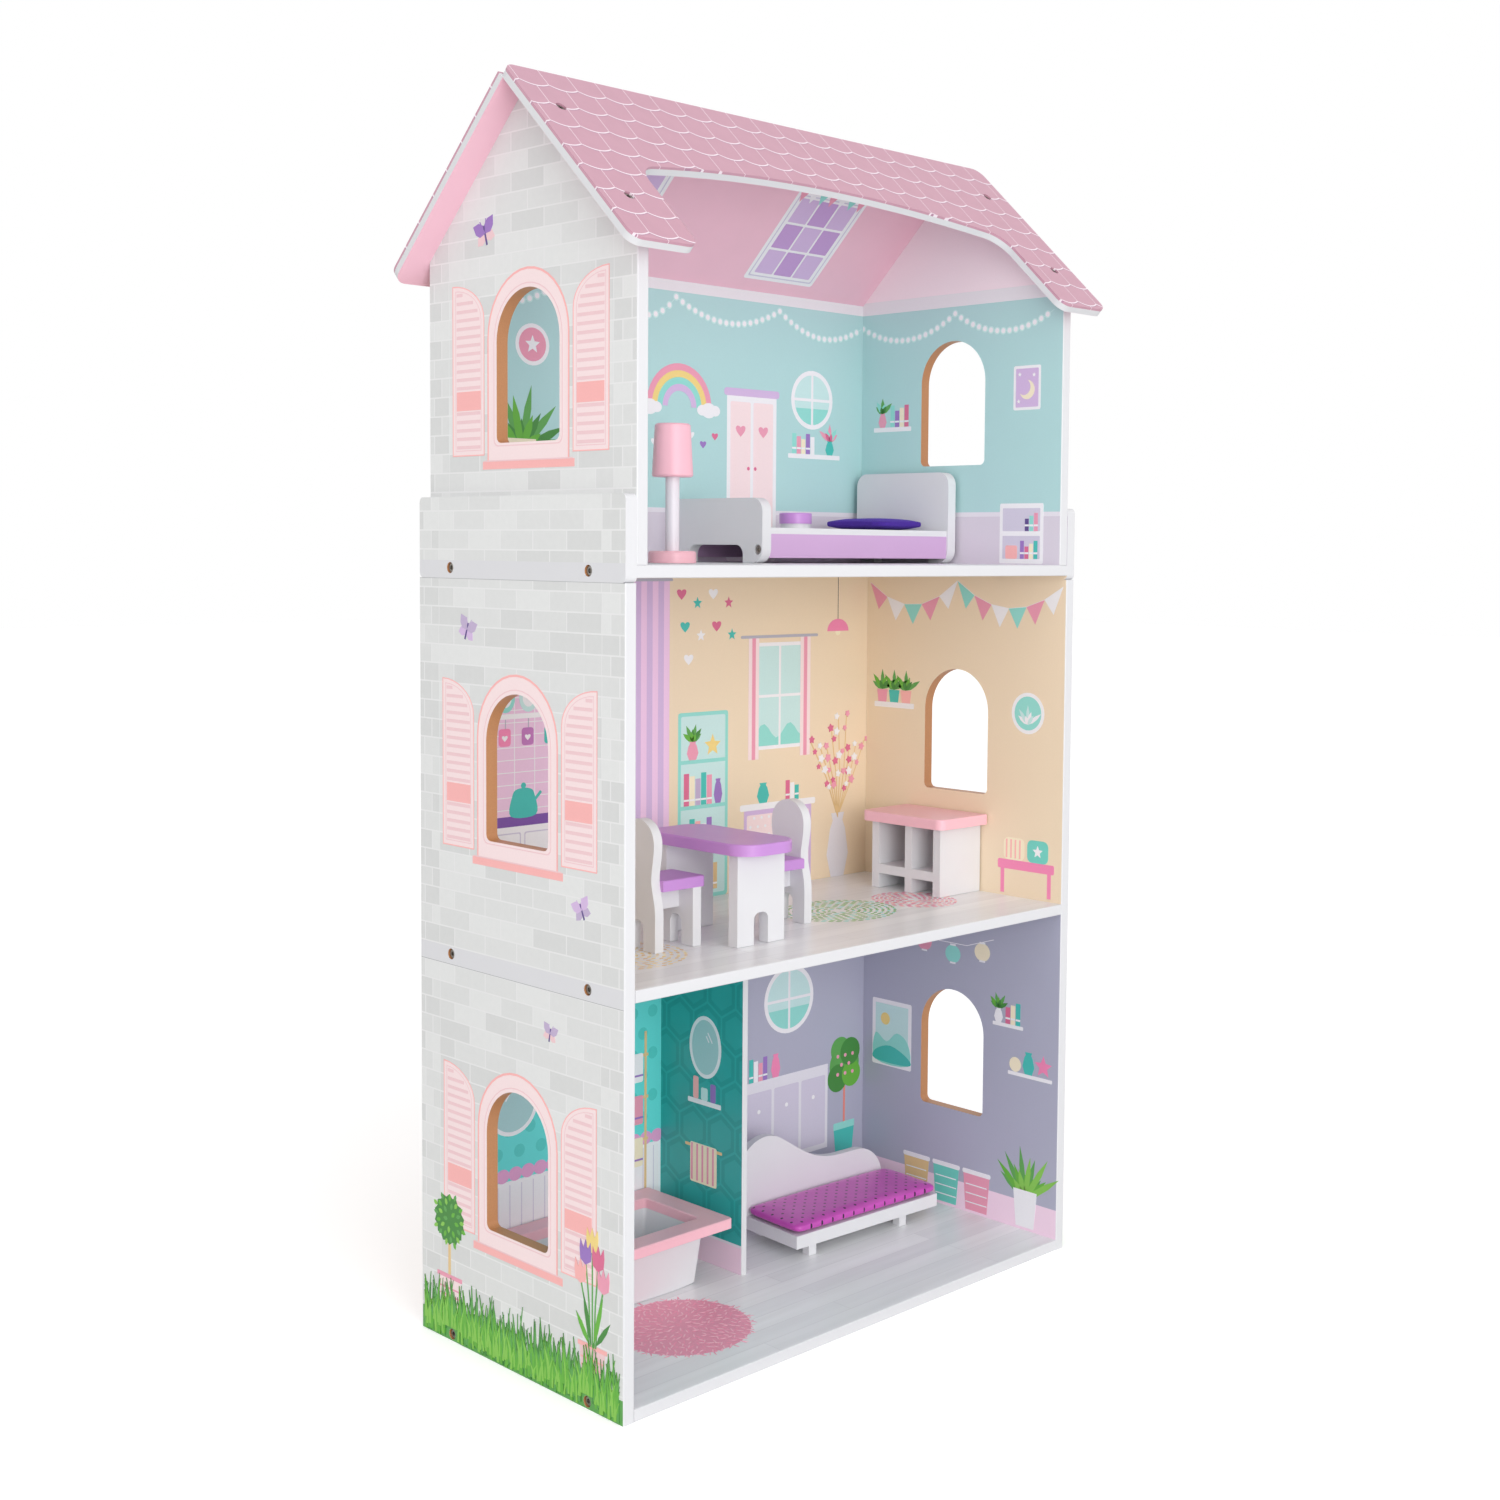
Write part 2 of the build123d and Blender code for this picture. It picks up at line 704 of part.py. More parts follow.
bed_bolt = make_screw(bed_board, bed_bolt_bite)
with BuildPart() as bed_bolts:
    with Locations(*[
        Plane(origin=(face_x, bolt_y, bed_floor + bed_bolt_height), z_dir=(outward, 0, 0))
        for face_x, outward in ((bed_left, -1), (bed_right, 1))
        for bolt_y in (
            bed_front + rail_inset + rail_thickness / 2,
            bed_back - rail_inset - rail_thickness / 2,
        )
    ]):
        add(bed_bolt)
bed_bolts.part.label = "bed_bolts"
export_step(bed_bolts.part, "parts/bed_bolts.step")

pillow_middle_x = bed_right - bed_board - pillow_head_gap - pillow_width / 2
with BuildPart() as bed_pillow:
    with BuildSketch(Plane.XY.offset(bed_top + rest_gap)):
        with Locations((pillow_middle_x, bed_middle_y)):
            RectangleRounded(pillow_width, pillow_length, pillow_corner)
    extrude(amount=pillow_thickness)
    chamfer(bed_pillow.faces().filter_by(Axis.Z).edges(), length=pillow_round)
bed_pillow.part.label = "bed_pillow"
export_step(bed_pillow.part, "parts/bed_pillow.step")

# ----------------------------------------------------------------------------------------------
# Trinket box: a round base and a lid that lifts off
# ----------------------------------------------------------------------------------------------
box_x = bed_left + bed_board + box_from_footboard
box_y = bed_front + box_from_front
box_foot = bed_top + rest_gap
box_rim = box_foot + box_base_height
lid_foot = box_rim + box_seat_gap - box_skirt_height
with BuildPart() as box_base:
    with BuildSketch(Plane.XY.offset(box_foot)):
        with Locations((box_x, box_y)):
            Circle(box_diameter / 2)
    extrude(amount=box_base_height)
    with BuildSketch(Plane.XY.offset(box_foot + box_floor)):
        with Locations((box_x, box_y)):
            Circle(box_hollow_diameter / 2)
    extrude(amount=box_base_height - box_floor, mode=Mode.SUBTRACT)
box_base.part.label = "box_base"
export_step(box_base.part, "parts/box_base.step")

with BuildPart() as box_lid:
    with BuildSketch(Plane.XY.offset(lid_foot)):
        with Locations((box_x, box_y)):
            Circle(box_lid_diameter / 2)
    extrude(amount=box_lid_height)
    chamfer(box_lid.edges().group_by(Axis.Z)[-1], length=box_edge)
    with BuildSketch(Plane.XY.offset(lid_foot)):
        with Locations((box_x, box_y)):
            Circle(box_diameter / 2 + box_skirt_play)
    extrude(amount=box_skirt_height, mode=Mode.SUBTRACT)
box_lid.part.label = "box_lid"
export_step(box_lid.part, "parts/box_lid.step")

# ----------------------------------------------------------------------------------------------
# Lamp
# ----------------------------------------------------------------------------------------------
lamp_foot = attic_top + rest_gap
shade_foot = lamp_foot + lamp_height - lamp_shade_height
post_foot = lamp_foot + lamp_base_height - lamp_socket
with BuildPart() as lamp_base:
    with BuildSketch(Plane.XY.offset(lamp_foot)):
        with Locations((lamp_x, lamp_y)):
            Circle(lamp_base_diameter / 2)
    extrude(amount=lamp_base_height)
    chamfer(lamp_base.edges().group_by(Axis.Z)[-1], length=lamp_edge)
    with BuildSketch(Plane.XY.offset(lamp_foot + lamp_base_height)):
        with Locations((lamp_x, lamp_y)):
            Circle(lamp_post_diameter / 2)
    extrude(amount=-lamp_socket, mode=Mode.SUBTRACT)
lamp_base.part.label = "lamp_base"
export_step(lamp_base.part, "parts/lamp_base.step")

with BuildPart() as lamp_post:
    with BuildSketch(Plane.XY.offset(post_foot)):
        with Locations((lamp_x, lamp_y)):
            Circle(lamp_post_diameter / 2)
    extrude(amount=shade_foot + lamp_socket - post_foot)
lamp_post.part.label = "lamp_post"
export_step(lamp_post.part, "parts/lamp_post.step")

with BuildPart() as lamp_shade:
    with BuildSketch(Plane.XY.offset(shade_foot)):
        with Locations((lamp_x, lamp_y)):
            Circle(lamp_shade_bottom / 2)
    with BuildSketch(Plane.XY.offset(shade_foot + lamp_shade_height)):
        with Locations((lamp_x, lamp_y)):
            Circle(lamp_shade_top / 2)
    loft()
    chamfer(lamp_shade.edges().filter_by(GeomType.CIRCLE), length=lamp_edge)
    with BuildSketch(Plane.XY.offset(shade_foot)):
        with Locations((lamp_x, lamp_y)):
            Circle(lamp_post_diameter / 2)
    extrude(amount=lamp_socket, mode=Mode.SUBTRACT)
lamp_shade.part.label = "lamp_shade"
export_step(lamp_shade.part, "parts/lamp_shade.step")

# ----------------------------------------------------------------------------------------------
# Table
# ----------------------------------------------------------------------------------------------
table_x = table_left + table_width / 2
table_y = table_front + table_length / 2
table_underside = middle_rest + table_height - table_board
table_leg_rows = (
    ("table_leg_front", table_front + table_leg_inset + table_leg_thickness / 2),
    ("table_leg_rear", table_front + table_length - table_leg_inset - table_leg_thickness / 2),
)
with BuildPart() as table_top:
    with BuildSketch(Plane.XY.offset(table_underside)):
        with Locations((table_x, table_y)):
            RectangleRounded(table_width, table_length, table_corner)
    extrude(amount=table_board)
    fillet(table_top.faces().sort_by(Axis.Z)[-1].edges(), radius=table_edge)
    with BuildSketch(Plane.XY.offset(table_underside)):
        with Locations(*[(table_x, leg_y) for leg_name, leg_y in table_leg_rows]):
            Rectangle(table_tenon_width, table_leg_thickness)
    extrude(amount=table_tenon_height, mode=Mode.SUBTRACT)
table_top.part.label = "table_top"
export_step(table_top.part, "parts/table_top.step")

leg_length = table_underside - middle_rest
for leg_name, leg_y in table_leg_rows:
    with BuildPart() as table_leg:
        with BuildSketch(Plane.XZ.offset(-leg_y - table_leg_thickness / 2)):
            with Locations((table_x, middle_rest + leg_length / 2)):
                Rectangle(table_leg_width, leg_length)
            with Locations((table_x, table_underside + table_tenon_height / 2)):
                Rectangle(table_tenon_width, table_tenon_height)
            with BuildSketch(mode=Mode.SUBTRACT) as notch:
                with Locations((table_x, middle_rest)):
                    Rectangle(table_notch_width, 2 * table_notch_height)
                fillet(notch.vertices().group_by(Axis.Y)[-1], radius=table_notch_corner)
        extrude(amount=table_leg_thickness)
    table_leg.part.label = leg_name
    export_step(table_leg.part, f"parts/{leg_name}.step")

# ----------------------------------------------------------------------------------------------
# Chairs
# ----------------------------------------------------------------------------------------------
chair_seat_underside = middle_rest + chair_seat_top - chair_seat_board
chair_head_radius = chair_head_width / 2
with BuildSketch() as chair_arch:
    with Locations((0, (chair_arch_height - chair_arch_width / 2) / 2)):
        Rectangle(chair_arch_width, chair_arch_height - chair_arch_width / 2)
    with Locations((0, chair_arch_height - chair_arch_width / 2)):
        Circle(chair_arch_width / 2)

with BuildSketch() as chair_back_outline:
    with BuildLine():
        Polyline((0, 0), (chair_base_width / 2, 0), (chair_base_width / 2, chair_foot_height))
        Spline(
            (chair_base_width / 2, chair_foot_height),
            (chair_waist_width / 2, chair_waist_height),
            (chair_head_radius, chair_height - chair_head_radius),
            tangents=[(0, 1), (0, 1), (0, 1)],
        )
        CenterArc((0, chair_height - chair_head_radius), chair_head_radius, 0, 90)
        mirror(about=Plane.YZ)
    make_face()
    add(chair_arch.sketch, mode=Mode.SUBTRACT)

for chair_name, back_x, chair_y, facing in (
    ("chair_left", chair_left_back, chair_left_middle, 1),
    ("chair_right", chair_right_back, chair_right_middle, -1),
):
    # Every X below is counted from the back's outer face, towards the table.
    seat_start = back_x + facing * chair_back_board
    seat_middle = seat_start + facing * chair_seat_length / 2
    leg_outer = seat_start + facing * (chair_seat_length - chair_seat_overhang)
    leg_inner = leg_outer - facing * chair_leg_board

    with BuildPart() as chair_back:
        with BuildSketch(Plane.YZ.offset(min(back_x, seat_start))):
            with Locations((chair_y, middle_rest)):
                add(chair_back_outline.sketch)
        extrude(amount=chair_back_board)
    chair_back.part.label = f"{chair_name}_back"
    export_step(chair_back.part, f"parts/{chair_name}_back.step")

    with BuildPart() as chair_seat:
        with BuildSketch(Plane.XY.offset(chair_seat_underside)) as seat_outline:
            with Locations((seat_middle, chair_y)):
                Rectangle(chair_seat_length, chair_seat_width)
            front_corners = [
                v for v in seat_outline.vertices() if (v.X - seat_middle) * facing > 0
            ]
            fillet(front_corners, radius=chair_seat_corner)
        extrude(amount=chair_seat_board)
        chamfer(chair_seat.faces().sort_by(Axis.Z)[-1].edges(), length=edge_bevel)
    chair_seat.part.label = f"{chair_name}_seat"
    export_step(chair_seat.part, f"parts/{chair_name}_seat.step")

    with BuildPart() as chair_leg:
        with BuildSketch(Plane.YZ.offset(min(leg_inner, leg_outer))):
            with Locations((chair_y, (middle_rest + chair_seat_underside) / 2)):
                Rectangle(chair_seat_width, chair_seat_underside - middle_rest)
            with Locations((chair_y, middle_rest)):
                add(chair_arch.sketch, mode=Mode.SUBTRACT)
        extrude(amount=chair_leg_board)
    chair_leg.part.label = f"{chair_name}_front_leg"
    export_step(chair_leg.part, f"parts/{chair_name}_front_leg.step")

    with BuildPart() as chair_rail:
        with BuildSketch(Plane.XY.offset(chair_seat_underside - chair_rail_height)):
            with Locations(((seat_start + leg_inner) / 2, chair_y)):
                Rectangle(abs(leg_inner - seat_start), chair_rail_board)
        extrude(amount=chair_rail_height)
    chair_rail.part.label = f"{chair_name}_rail"
    export_step(chair_rail.part, f"parts/{chair_name}_rail.step")

# ----------------------------------------------------------------------------------------------
# Bench
# ----------------------------------------------------------------------------------------------
bench_x = inner_half_width - bench_wall_gap - bench_depth / 2
bench_y = bench_front + bench_length / 2
bench_underside = middle_rest + bench_height - bench_top_board
shelf_underside = middle_rest + bench_shelf_clearance
for side_name, side_y in (
    ("bench_side_front", bench_front + bench_side_board / 2),
    ("bench_side_rear", bench_front + bench_length - bench_side_board / 2),
):
    with BuildPart() as bench_side:
        with BuildSketch(Plane.XY.offset(middle_rest)):
            with Locations((bench_x, side_y)):
                Rectangle(bench_depth, bench_side_board)
        extrude(amount=bench_underside - middle_rest)
    bench_side.part.label = side_name
    export_step(bench_side.part, f"parts/{side_name}.step")

# Divider and shelf cross each other in a halving joint: each is slotted to the middle.
with BuildPart() as bench_divider:
    with BuildSketch(Plane.XY.offset(middle_rest)):
        with Locations((bench_x, bench_divider_middle)):
            Rectangle(bench_depth, bench_divider_board)
    extrude(amount=bench_underside - middle_rest)
    with BuildSketch(Plane.XY.offset(shelf_underside)):
        with Locations((bench_x + bench_depth / 4, bench_divider_middle)):
            Rectangle(bench_depth / 2 + bench_halving_play, bench_divider_board)
    extrude(amount=bench_shelf_board, mode=Mode.SUBTRACT)
bench_divider.part.label = "bench_divider"
export_step(bench_divider.part, "parts/bench_divider.step")

with BuildPart() as bench_shelf:
    with BuildSketch(Plane.XY.offset(shelf_underside)):
        with Locations((bench_x, bench_y)):
            Rectangle(bench_depth, bench_length - 2 * bench_side_board)
        with Locations((bench_x - bench_depth / 4, bench_divider_middle)):
            Rectangle(
                bench_depth / 2 + bench_halving_play, bench_divider_board, mode=Mode.SUBTRACT
            )
    extrude(amount=bench_shelf_board)
bench_shelf.part.label = "bench_shelf"
export_step(bench_shelf.part, "parts/bench_shelf.step")

with BuildPart() as bench_top:
    with BuildSketch(Plane.XY.offset(bench_underside)) as top_outline:
        with Locations((bench_x - bench_overhang / 2, bench_y)):
            Rectangle(bench_depth + bench_overhang, bench_length + 2 * bench_overhang)
        fillet(top_outline.vertices().group_by(Axis.X)[0], radius=bench_corner)
    extrude(amount=bench_top_board)
    fillet(bench_top.faces().sort_by(Axis.Z)[-1].edges(), radius=edge_softening)
bench_top.part.label = "bench_top"
export_step(bench_top.part, "parts/bench_top.step")

# ----------------------------------------------------------------------------------------------
# Bathtub
# ----------------------------------------------------------------------------------------------
tub_body_height = tub_height - tub_rim_board
tub_opening_length = tub_length - 2 * tub_rim_width
tub_opening_width = tub_width - 2 * tub_rim_width
# Outer length and width of the body at its top and at its foot; the ends and sides lean between.
tub_top_size = (tub_opening_length + 2 * tub_wall, tub_opening_width + 2 * tub_wall)
tub_foot_size = (tub_top_size[0] - 2 * tub_end_taper, tub_top_size[1] - 2 * tub_side_taper)
# The room inside, at the height of the tub's floor.
floor_share = 1 - tub_floor / tub_body_height
tub_inner_size = (
    tub_opening_length - 2 * tub_end_taper * floor_share,
    tub_opening_width - 2 * tub_side_taper * floor_share,
)
with BuildPart() as tub_body:
    with BuildSketch(Plane.XY.offset(base_rest)):
        with Locations((tub_x, tub_y)):
            RectangleRounded(*tub_foot_size, tub_corner)
    with BuildSketch(Plane.XY.offset(base_rest + tub_body_height)):
        with Locations((tub_x, tub_y)):
            RectangleRounded(*tub_top_size, tub_corner)
    loft()
    chamfer(tub_body.faces().sort_by(Axis.Z)[0].edges(), length=tub_foot_bevel)
    with BuildSketch(Plane.XY.offset(base_rest + tub_floor)):
        with Locations((tub_x, tub_y)):
            RectangleRounded(*tub_inner_size, tub_rim_corner)
    with BuildSketch(Plane.XY.offset(base_rest + tub_body_height)):
        with Locations((tub_x, tub_y)):
            RectangleRounded(tub_opening_length, tub_opening_width, tub_rim_corner)
    loft(mode=Mode.SUBTRACT)
tub_body.part.label = "tub_body"
export_step(tub_body.part, "parts/tub_body.step")

with BuildPart() as tub_rim:
    with BuildSketch(Plane.XY.offset(base_rest + tub_body_height)):
        with Locations((tub_x, tub_y)):
            RectangleRounded(tub_length, tub_width, tub_rim_corner)
            RectangleRounded(
                tub_opening_length, tub_opening_width, tub_rim_corner, mode=Mode.SUBTRACT
            )
    extrude(amount=tub_rim_board)
    chamfer(tub_rim.faces().sort_by(Axis.Z)[-1].edges(), length=edge_bevel)
tub_rim.part.label = "tub_rim"
export_step(tub_rim.part, "parts/tub_rim.step")

# ----------------------------------------------------------------------------------------------
# Sofa
# ----------------------------------------------------------------------------------------------
# The sofa's own frame: X along its front from the left end, Y towards its back.
sofa_along = (cos(radians(sofa_turn)), sin(radians(sofa_turn)), 0)
sofa_frame = Plane(origin=(sofa_x, sofa_y, base_rest), x_dir=sofa_along, z_dir=(0, 0, 1))
sofa_seat_top = sofa_leg_height + sofa_seat_board
leg_near = sofa_leg_inset + sofa_leg / 2
with BuildPart() as sofa_legs:
    with BuildSketch(sofa_frame):
        with Locations(*[
            (leg_x, leg_y)
            for leg_x in (sofa_leg_left, sofa_length - sofa_leg_right)
            for leg_y in (leg_near, sofa_depth - leg_near)
        ]):
            Rectangle(sofa_leg, sofa_leg)
    extrude(amount=sofa_leg_height)
sofa_legs.part.label = "sofa_legs"
export_step(sofa_legs.part, "parts/sofa_legs.step")

with BuildPart() as sofa_seat:
    with BuildSketch(sofa_frame.offset(sofa_leg_height)):
        with Locations((sofa_length / 2, sofa_depth / 2)):
            Rectangle(sofa_length, sofa_depth)
    extrude(amount=sofa_seat_board)
    fillet(sofa_seat.edges().filter_by(Axis.Z), radius=edge_softening)
sofa_seat.part.label = "sofa_seat"
export_step(sofa_seat.part, "parts/sofa_seat.step")

# The backrest is drawn on its rear face, heights counted from the seat board.
sofa_rear = Plane(
    origin=sofa_frame.from_local_coords((0, sofa_depth, sofa_seat_top)),
    x_dir=sofa_along,
    z_dir=-sofa_frame.y_dir,
)
hump_centre = (sofa_hump_middle, sofa_back_height - sofa_hump_radius)
hump_start = hump_centre[1] + (sofa_hump_radius**2 - sofa_hump_middle**2) ** 0.5
fall = radians(sofa_hump_fall)
hump_end = (
    hump_centre[0] + sofa_hump_radius * sin(fall),
    hump_centre[1] + sofa_hump_radius * cos(fall),
)
low_corner = sofa_back_length - sofa_back_low
with BuildPart() as sofa_back:
    with BuildSketch(sofa_rear):
        with BuildLine():
            Polyline((sofa_back_length, 0), (0, 0), (0, hump_start))
            ThreePointArc(
                (0, hump_start), (sofa_hump_middle, sofa_back_height), hump_end
            )
            Spline(
                hump_end,
                (sofa_low_start, sofa_back_low),
                tangents=[(cos(fall), -sin(fall)), (1, 0)],
            )
            Line((sofa_low_start, sofa_back_low), (low_corner, sofa_back_low))
            CenterArc((low_corner, 0), sofa_back_low, 0, 90)
        make_face()
    extrude(amount=sofa_back_board)
sofa_back.part.label = "sofa_back"
export_step(sofa_back.part, "parts/sofa_back.step")

cushion_depth = sofa_depth - sofa_back_board - cushion_back_gap
with BuildPart() as sofa_cushion:
    with BuildSketch(sofa_frame.offset(sofa_seat_top + rest_gap)):
        with Locations((sofa_length / 2, cushion_depth / 2)):
            RectangleRounded(sofa_length - 2 * cushion_side_gap, cushion_depth, cushion_corner)
    extrude(amount=cushion_thickness)
    chamfer(sofa_cushion.faces().filter_by(Axis.Z).edges(), length=cushion_round)
sofa_cushion.part.label = "sofa_cushion"
export_step(sofa_cushion.part, "parts/sofa_cushion.step")
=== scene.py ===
# %% [markdown]
# # A three-storey wooden dollhouse
#
# The model of the dollhouse comes in as a fixed frame: every board, screw and loose piece of furniture
# has its true size and place, in metres. This lesson dresses that frame. It sets up the studio, gives
# each board its paint or printed paper, prints the pictures on the walls, and sews the soft pieces.

import json
import math
import random

import bpy
from mathutils import Matrix, Vector

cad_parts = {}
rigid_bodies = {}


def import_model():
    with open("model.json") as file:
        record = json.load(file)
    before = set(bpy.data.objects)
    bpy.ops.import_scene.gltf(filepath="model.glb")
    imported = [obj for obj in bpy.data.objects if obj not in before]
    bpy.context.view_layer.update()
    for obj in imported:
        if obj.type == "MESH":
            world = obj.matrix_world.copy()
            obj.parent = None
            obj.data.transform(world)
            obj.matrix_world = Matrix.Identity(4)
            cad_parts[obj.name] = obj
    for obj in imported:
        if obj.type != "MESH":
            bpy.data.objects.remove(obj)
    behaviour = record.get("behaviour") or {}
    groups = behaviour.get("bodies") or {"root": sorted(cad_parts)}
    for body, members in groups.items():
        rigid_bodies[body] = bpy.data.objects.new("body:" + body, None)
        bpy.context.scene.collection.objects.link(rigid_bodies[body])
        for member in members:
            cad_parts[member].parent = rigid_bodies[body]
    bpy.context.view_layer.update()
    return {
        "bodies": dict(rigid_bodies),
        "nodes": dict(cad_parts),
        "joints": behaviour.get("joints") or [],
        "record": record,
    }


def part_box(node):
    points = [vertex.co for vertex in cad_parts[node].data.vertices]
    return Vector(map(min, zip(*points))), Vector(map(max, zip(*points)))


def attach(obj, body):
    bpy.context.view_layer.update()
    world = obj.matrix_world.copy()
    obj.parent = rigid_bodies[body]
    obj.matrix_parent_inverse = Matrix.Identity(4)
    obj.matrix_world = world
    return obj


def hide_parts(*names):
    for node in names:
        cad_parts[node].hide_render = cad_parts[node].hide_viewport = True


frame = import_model()
nodes = frame["nodes"]

# %% [markdown]
# ## Camera
#
# A dollhouse over a metre tall is seen best from the front left, at the height of its middle floor, so
# the side wall and all three open rooms show at once. The camera gets its place and three axes as a
# matrix, which says exactly where it looks without any tracking target.


# %% Camera
def aim(place, azimuth, pitch, roll):
    """A camera matrix. The azimuth turns from the front, a positive pitch looks down."""
    a, p, r = (math.radians(v) for v in (azimuth, pitch, roll))
    back = Vector((math.sin(a) * math.cos(p), -math.cos(a) * math.cos(p), math.sin(p)))
    right = (-back).cross(Vector((0, 0, 1))).normalized()
    up = right.cross(-back)
    across = right * math.cos(r) + up * math.sin(r)
    over = up * math.cos(r) - right * math.sin(r)
    axes = Matrix((across, over, back)).transposed().to_4x4()
    return Matrix.Translation(place) @ axes


lens = bpy.data.cameras.new("camera")
lens.lens = 46.41
lens.sensor_width = 36
lens.shift_x = -0.0582
lens.shift_y = -0.0552
lens.clip_start = 0.05
camera = bpy.data.objects.new("camera", lens)
bpy.context.scene.collection.objects.link(camera)
camera.matrix_world = aim((-1.3114, -1.3763, 0.7373), -45.75, 3.49, 0.53)
bpy.context.scene.camera = camera
bpy.context.scene.view_settings.view_transform = "Standard"
print("camera at", tuple(round(v, 3) for v in camera.matrix_world.translation))

# %% [markdown]
# ## A small kit for materials
#
# Paint, print and wood are all one Principled shader with a pattern worked out from Object coordinates,
# which are real metres here. A helper class keeps the node wiring short: each call adds one node and
# returns its output, so a pattern reads like a sum.


# %% Colour values and the shader helper
def linear(red, green, blue):
    """An 8-bit screen colour as the linear values that nodes expect."""
    def one(v):
        v /= 255
        return v / 12.92 if v <= 0.04045 else ((v + 0.055) / 1.055) ** 2.4

    return (one(red), one(green), one(blue), 1)


class Finish:
    """One node material. Its methods each add a node and return that node's output."""

    def __init__(self, name, roughness=0.5):
        self.material = bpy.data.materials.new(name)
        self.material.use_nodes = True
        self.tree = self.material.node_tree
        self.shader = self.tree.nodes["Principled BSDF"]
        self.shader.inputs["Roughness"].default_value = roughness
        self.where = self.node("ShaderNodeTexCoord", "Object")
        self.x, self.y, self.z = self.parts(self.where)

    def node(self, kind, output=0, sockets=(), **settings):
        made = self.tree.nodes.new(kind)
        for key, value in settings.items():
            setattr(made, key, value)
        for key, value in dict(sockets).items():
            self.feed(value, made.inputs[key])
        return made.outputs[output]

    def feed(self, value, socket):
        if isinstance(value, bpy.types.NodeSocket):
            self.tree.links.new(value, socket)
        else:
            socket.default_value = value

    def parts(self, vector):
        split = self.node("ShaderNodeSeparateXYZ", sockets={0: vector}).node
        return split.outputs[0], split.outputs[1], split.outputs[2]

    def vector(self, x, y, z=0.0):
        return self.node("ShaderNodeCombineXYZ", sockets={0: x, 1: y, 2: z})

    def sum(self, operation, a, b=0.0, c=0.0):
        return self.node("ShaderNodeMath", operation=operation, sockets={0: a, 1: b, 2: c})

    def over(self, value, edge):
        return self.sum("GREATER_THAN", value, edge)

    def between(self, value, low, high):
        return self.sum("MULTIPLY", self.over(value, low), self.sum("LESS_THAN", value, high))

    def mix(self, share, a, b):
        made = self.node("ShaderNodeMix", data_type="RGBA").node
        self.feed(share, made.inputs[0])
        self.feed(a, made.inputs[6])
        self.feed(b, made.inputs[7])
        return made.outputs[2]

    def noise(self, scale, detail=2.0, vector=None):
        at = self.where if vector is None else vector
        return self.node("ShaderNodeTexNoise", sockets={"Vector": at, "Scale": scale, "Detail": detail})

    def steps(self, value, low, high, colours):
        """A colour for each stretch of value: colours is a list of (start, colour)."""
        place = self.node("ShaderNodeMapRange", sockets={0: value, 1: low, 2: high})
        made = self.node("ShaderNodeValToRGB", sockets={0: place}).node
        ramp = made.color_ramp
        ramp.interpolation = "CONSTANT"
        while len(ramp.elements) < len(colours):
            ramp.elements.new(1.0)
        for element, (start, colour) in zip(ramp.elements, colours):
            element.position = (start - low) / (high - low)
            element.color = colour
        return made.outputs[0]

    def tinted(self, colour, grain, amount):
        """The colour, a little lighter and darker with the grain."""
        value = self.sum("MULTIPLY_ADD", grain, 2 * amount, 1 - amount)
        grey = self.node("ShaderNodeCombineColor", sockets={0: value, 1: value, 2: value})
        made = self.node("ShaderNodeMix", data_type="RGBA", blend_type="MULTIPLY").node
        made.inputs[0].default_value = 1
        self.feed(colour, made.inputs[6])
        self.feed(grey, made.inputs[7])
        return made.outputs[2]

    def relief(self, height, depth, strength):
        sockets = {"Strength": strength, "Distance": depth, "Height": height}
        self.feed(self.node("ShaderNodeBump", sockets=sockets), self.shader.inputs["Normal"])

    def paper_tooth(self):
        self.relief(self.noise(900.0, 2.0), 0.00004, 0.4)

    def sheen(self, weight, roughness, tint):
        for key, value in (("Weight", weight), ("Roughness", roughness), ("Tint", linear(*tint))):
            self.shader.inputs["Sheen " + key].default_value = value

    def colour(self, value):
        self.feed(value, self.shader.inputs["Base Color"])
        return self.material


print("white paint is", tuple(round(v, 2) for v in linear(240, 240, 240)[:3]))

# %% [markdown]
# ## Studio
#
# The house stands on a plain pale floor under soft light. Three wide suns light it: a low one from in
# front that reaches the back of the open rooms, one from the left for the side wall, and one from
# above. A square lamp card, placed well in front and never seen itself, adds light inside the rooms.
# A sky or floor that a camera ray sees directly is white, and every other ray sees a lower, even level.


# %% Floor, sky and lamps
def lamp(name, towards, strength, softness):
    """A sun whose light comes from the given direction, with its softness in degrees."""
    light = bpy.data.lights.new(name, "SUN")
    light.energy = strength
    light.angle = math.radians(softness)
    made = bpy.data.objects.new(name, light)
    made.rotation_euler = Vector(towards).to_track_quat("Z", "Y").to_euler()
    bpy.context.scene.collection.objects.link(made)


lamp("front light", (-0.30, -0.92, 0.17), 0.96, 50)
lamp("side light", (-0.92, -0.30, 0.20), 0.54, 50)
lamp("top light", (-0.2, -0.45, 0.9), 0.30, 40)

CARD_AT, CARD_AIM = Vector((-0.9, -1.9, 0.66)), Vector((0.05, 0.0, 0.95))
card = bpy.data.lights.new("room card", "AREA")
card.energy = 10.0
card.size = 0.9
holder = bpy.data.objects.new("room card", card)
holder.location = CARD_AT
holder.rotation_euler = (CARD_AT - CARD_AIM).to_track_quat("Z", "Y").to_euler()
holder.visible_camera = False
bpy.context.scene.collection.objects.link(holder)

